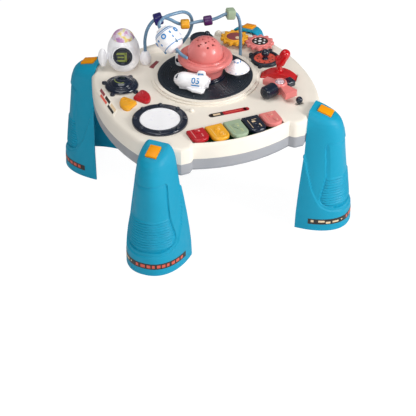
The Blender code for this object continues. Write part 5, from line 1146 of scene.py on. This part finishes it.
def makeDial():
    inner, outer, top, foot, centre = (dial[key] for key in ("inner", "outer", "top", "foot", "centre"))
    ring = [(inner, foot), (inner, top - 1.2)] + arcPoints((inner + 1.2, top - 1.2), 1.2, 180, 90, 5)
    ring += arcPoints((outer - 2.2, top - 2.2), 2.2, 90, 0, 7) + [(outer, foot), (inner, foot)]
    piece = putFor("dial_ring", "dial_bezel", spunAt(ring, centre, 128), "slateSoftTouch", 35)
    spots = [polar(dial["lugReach"], 360 * k / dial["lugs"] + 45, centre) for k in range(dial["lugs"])]
    carve(piece, [rodMesh(*dial["notch"], shift(*spot)) for spot in spots], 35)
    lug = [(0, 228.4), (1.8, 228.4)] + arcPoints((3.0, 227.4), 1.0, 90, 0, 5) + [(4.0, 220.2), (0, 220.2)]
    putPiece("dial_lugs", gathered([spunAt(lug, spot, 32) for spot in spots]), "slateSoftTouch")
    radius, face = dial["faceRadius"], dial["faceTop"]
    plate = [(0, face - 0.5), (9, face - 0.5), (9.6, face), (radius - 3.4, face), (radius - 3.0, face + 0.5),
             (radius - 0.6, face + 0.5), (radius, face - 0.2), (radius, foot + 0.4), (0, foot + 0.4)]
    putFor("dial_face", "dial_plate", spunAt(plate, centre), "printCoral", 35)
    dot = [(0, face + 0.25), (1.5, face + 0.2), (1.5, face - 0.2), (0, face - 0.2)]
    spots = [polar(dial["dotReach"], 360 * k / dial["dots"], centre) for k in range(dial["dots"])]
    putPiece("dial_dots", gathered([spunAt(dot, spot, 20) for spot in spots]), "printBlack", bodyOf("dial_face"))
    middle = dial["ballMiddle"]
    ball = [(0, middle + dial["ball"])] + arcPoints((0, middle), dial["ball"], 90, -58, 20)[1:]
    ball += [(4.4, middle - 8.4), (5.8, face + 0.3), (0, face + 0.3)]
    putFor("dial_ball", "dial_grip", spunAt(ball, centre, 64), "navyAbs", 60)


makeDial()

stick = {"place": (137, -21, 188.5), "turn": -35, "lean": 26, "low": 43.8, "gripLift": 13.5,
         "grip": ((0.01, 32), (4.4, 31.4), (7.4, 29), (8.9, 25), (9, 20), (8.7, 12), (8.9, 5), (8.2, 1.4), (5.4, 0)),
         "bulge": ((-8.2, -1.5, 9.5), (4.6, 4.2, 6.8)),
         "neck": ((8.6, 0), (6.0, 2.6), (5.2, 7), (5.4, 12), (6.6, 15.6))}


def makeJoystick():
    dressNode("joystick_cover", "redAbs", 1.6, 30, 5)
    root = shift(0, 0, stick["low"])
    seat = root @ shift(0, 0, stick["gripLift"]) @ turned(stick["lean"], "Y")
    grip = spunMesh([(0, 32)] + smoothPoints(stick["grip"]) + [(0, 0)], seat, 72)
    bulge = placed(ballMesh(1, *stick["bulge"], 20), seat)
    neck = smoothPoints(stick["neck"], 5)
    stem = spunMesh([(0, 0)] + neck + [(0, neck[-1][1])], root, 64)
    whole = gathered([grip, bulge, stem], shift(*stick["place"]) @ turned(stick["turn"]))
    putFor("joystick_handle", "joystick_grip", whole, "redAbs", 60)


makeJoystick()

spin = {"centre": (115, -70), "middle": 232.5, "high": 238.5,
        "ribs": 6, "ribFrom": 17, "ribPitch": 3.2, "ribTurn": 280,
        "drumTurn": 200, "end": ((0, 39.9), (6.4, 39.9), (7.0, 39.4), (7.0, 38.6), (0, 38.6)),
        "bands": (15.5, 20.5, 25.5, 30.5, 35.0), "band": ((11.6, -0.9), (12.15, -0.4), (12.15, 0.4), (11.6, 0.9)),
        "lens": ((0.01, 245.3), (4, 244.8), (6.8, 243.2), (8.4, 241.0), (8.5, 240.3)),
        "collar": ((8.8, 238.2), (9.0, 240.9), (10.2, 242.0), (12.0, 241.4), (13.6, 238.2))}


def ribWidth(reach):
    # the pink arm widens outward, and its ribs with it
    return 2 * (7.0 + (reach - 5) * 0.44) * 0.86 * 0.62


def makeSpinner():
    body, centre = bodyOf("spinner_cross"), shift(*spin["centre"])
    for node, finish, edge in (("cross", "pinkAbs", 0.9), ("drum", "navyAbs", 0.8), ("slab", "navyAbs", 1.0)):
        dressNode("spinner_" + node, finish, edge, 30, 4)
    reaches = [spin["ribFrom"] + spin["ribPitch"] * index for index in range(spin["ribs"])]
    ribs = [blockMesh((1.3, ribWidth(reach), 0.9), (reach, 0, spin["high"] + 0.25), 0.3) for reach in reaches]
    putPiece("spinner_ribs", gathered(ribs, centre @ turned(spin["ribTurn"])), "pinkAbs", body)
    lay = centre @ shift(0, 0, spin["middle"]) @ turned(spin["drumTurn"]) @ turned(90, "Y")
    cap = gathered([spunMesh(spin["end"], steps=48), ballMesh(2.6, (0, 0, 40.2), (1, 1, 0.7), 14)], lay)
    putPiece("spinner_drum_end", cap, "slateSoftTouch", body)
    bands = gathered([spunMesh(spin["band"], shift(0, 0, reach), 64) for reach in spin["bands"]], lay)
    putPiece("spinner_drum_bands", bands, "navyAbs", body)
    lens = [(0, spin["lens"][0][1])] + smoothPoints(spin["lens"]) + [(0, spin["lens"][-1][1])]
    putFor("spinner_lens", "spinner_lens_dome", spunMesh(lens, centre, 64), clearPlastic())
    collar = smoothPoints(spin["collar"], 5)
    putPiece("spinner_collar", spunMesh(collar + [collar[0]], centre, 64), "pinkAbs", body)


makeSpinner()
print("gears, dial, joystick and spinner made")

plainFinish = {"deck_top_shell": "creamAbs", "deck_bottom_tray": "greyAbs", "battery_door": "greyAbs",
               "battery_box": "slateSoftTouch", "speaker": "slateSoftTouch", "circuit_board": "solderMask",
               "planet_post": "whiteAbs", "projector_lamp": "whiteAbs", "rear_dial": "navyAbs", "slide_knob": "navyAbs"}
rearDial = {"ridge": ((16, -0.3), (16.4, 0.9), (17.6, 0.9), (18, -0.3), (16, -0.3)),
            "knob": (13, 5, 2.4), "knobRadius": 5.4}


def makeRearKnob():
    middle = middleOf("rear_dial")
    seat = shift(middle.x, middle.y, boxOf("rear_dial")[1].z)
    knob = ballMesh(rearDial["knobRadius"], rearDial["knob"], (1, 1, 0.9), 20)
    mesh = gathered([spunMesh(rearDial["ridge"], steps=64), knob], seat)
    putPiece("rear_dial_knob", mesh, "navyAbs", bodyOf("rear_dial"))


for node, finish in plainFinish.items():
    dressNode(node, finish, 0.4)
dressNode("joystick_axle", steelPin())
makeRearKnob()
print("plain pieces dressed")
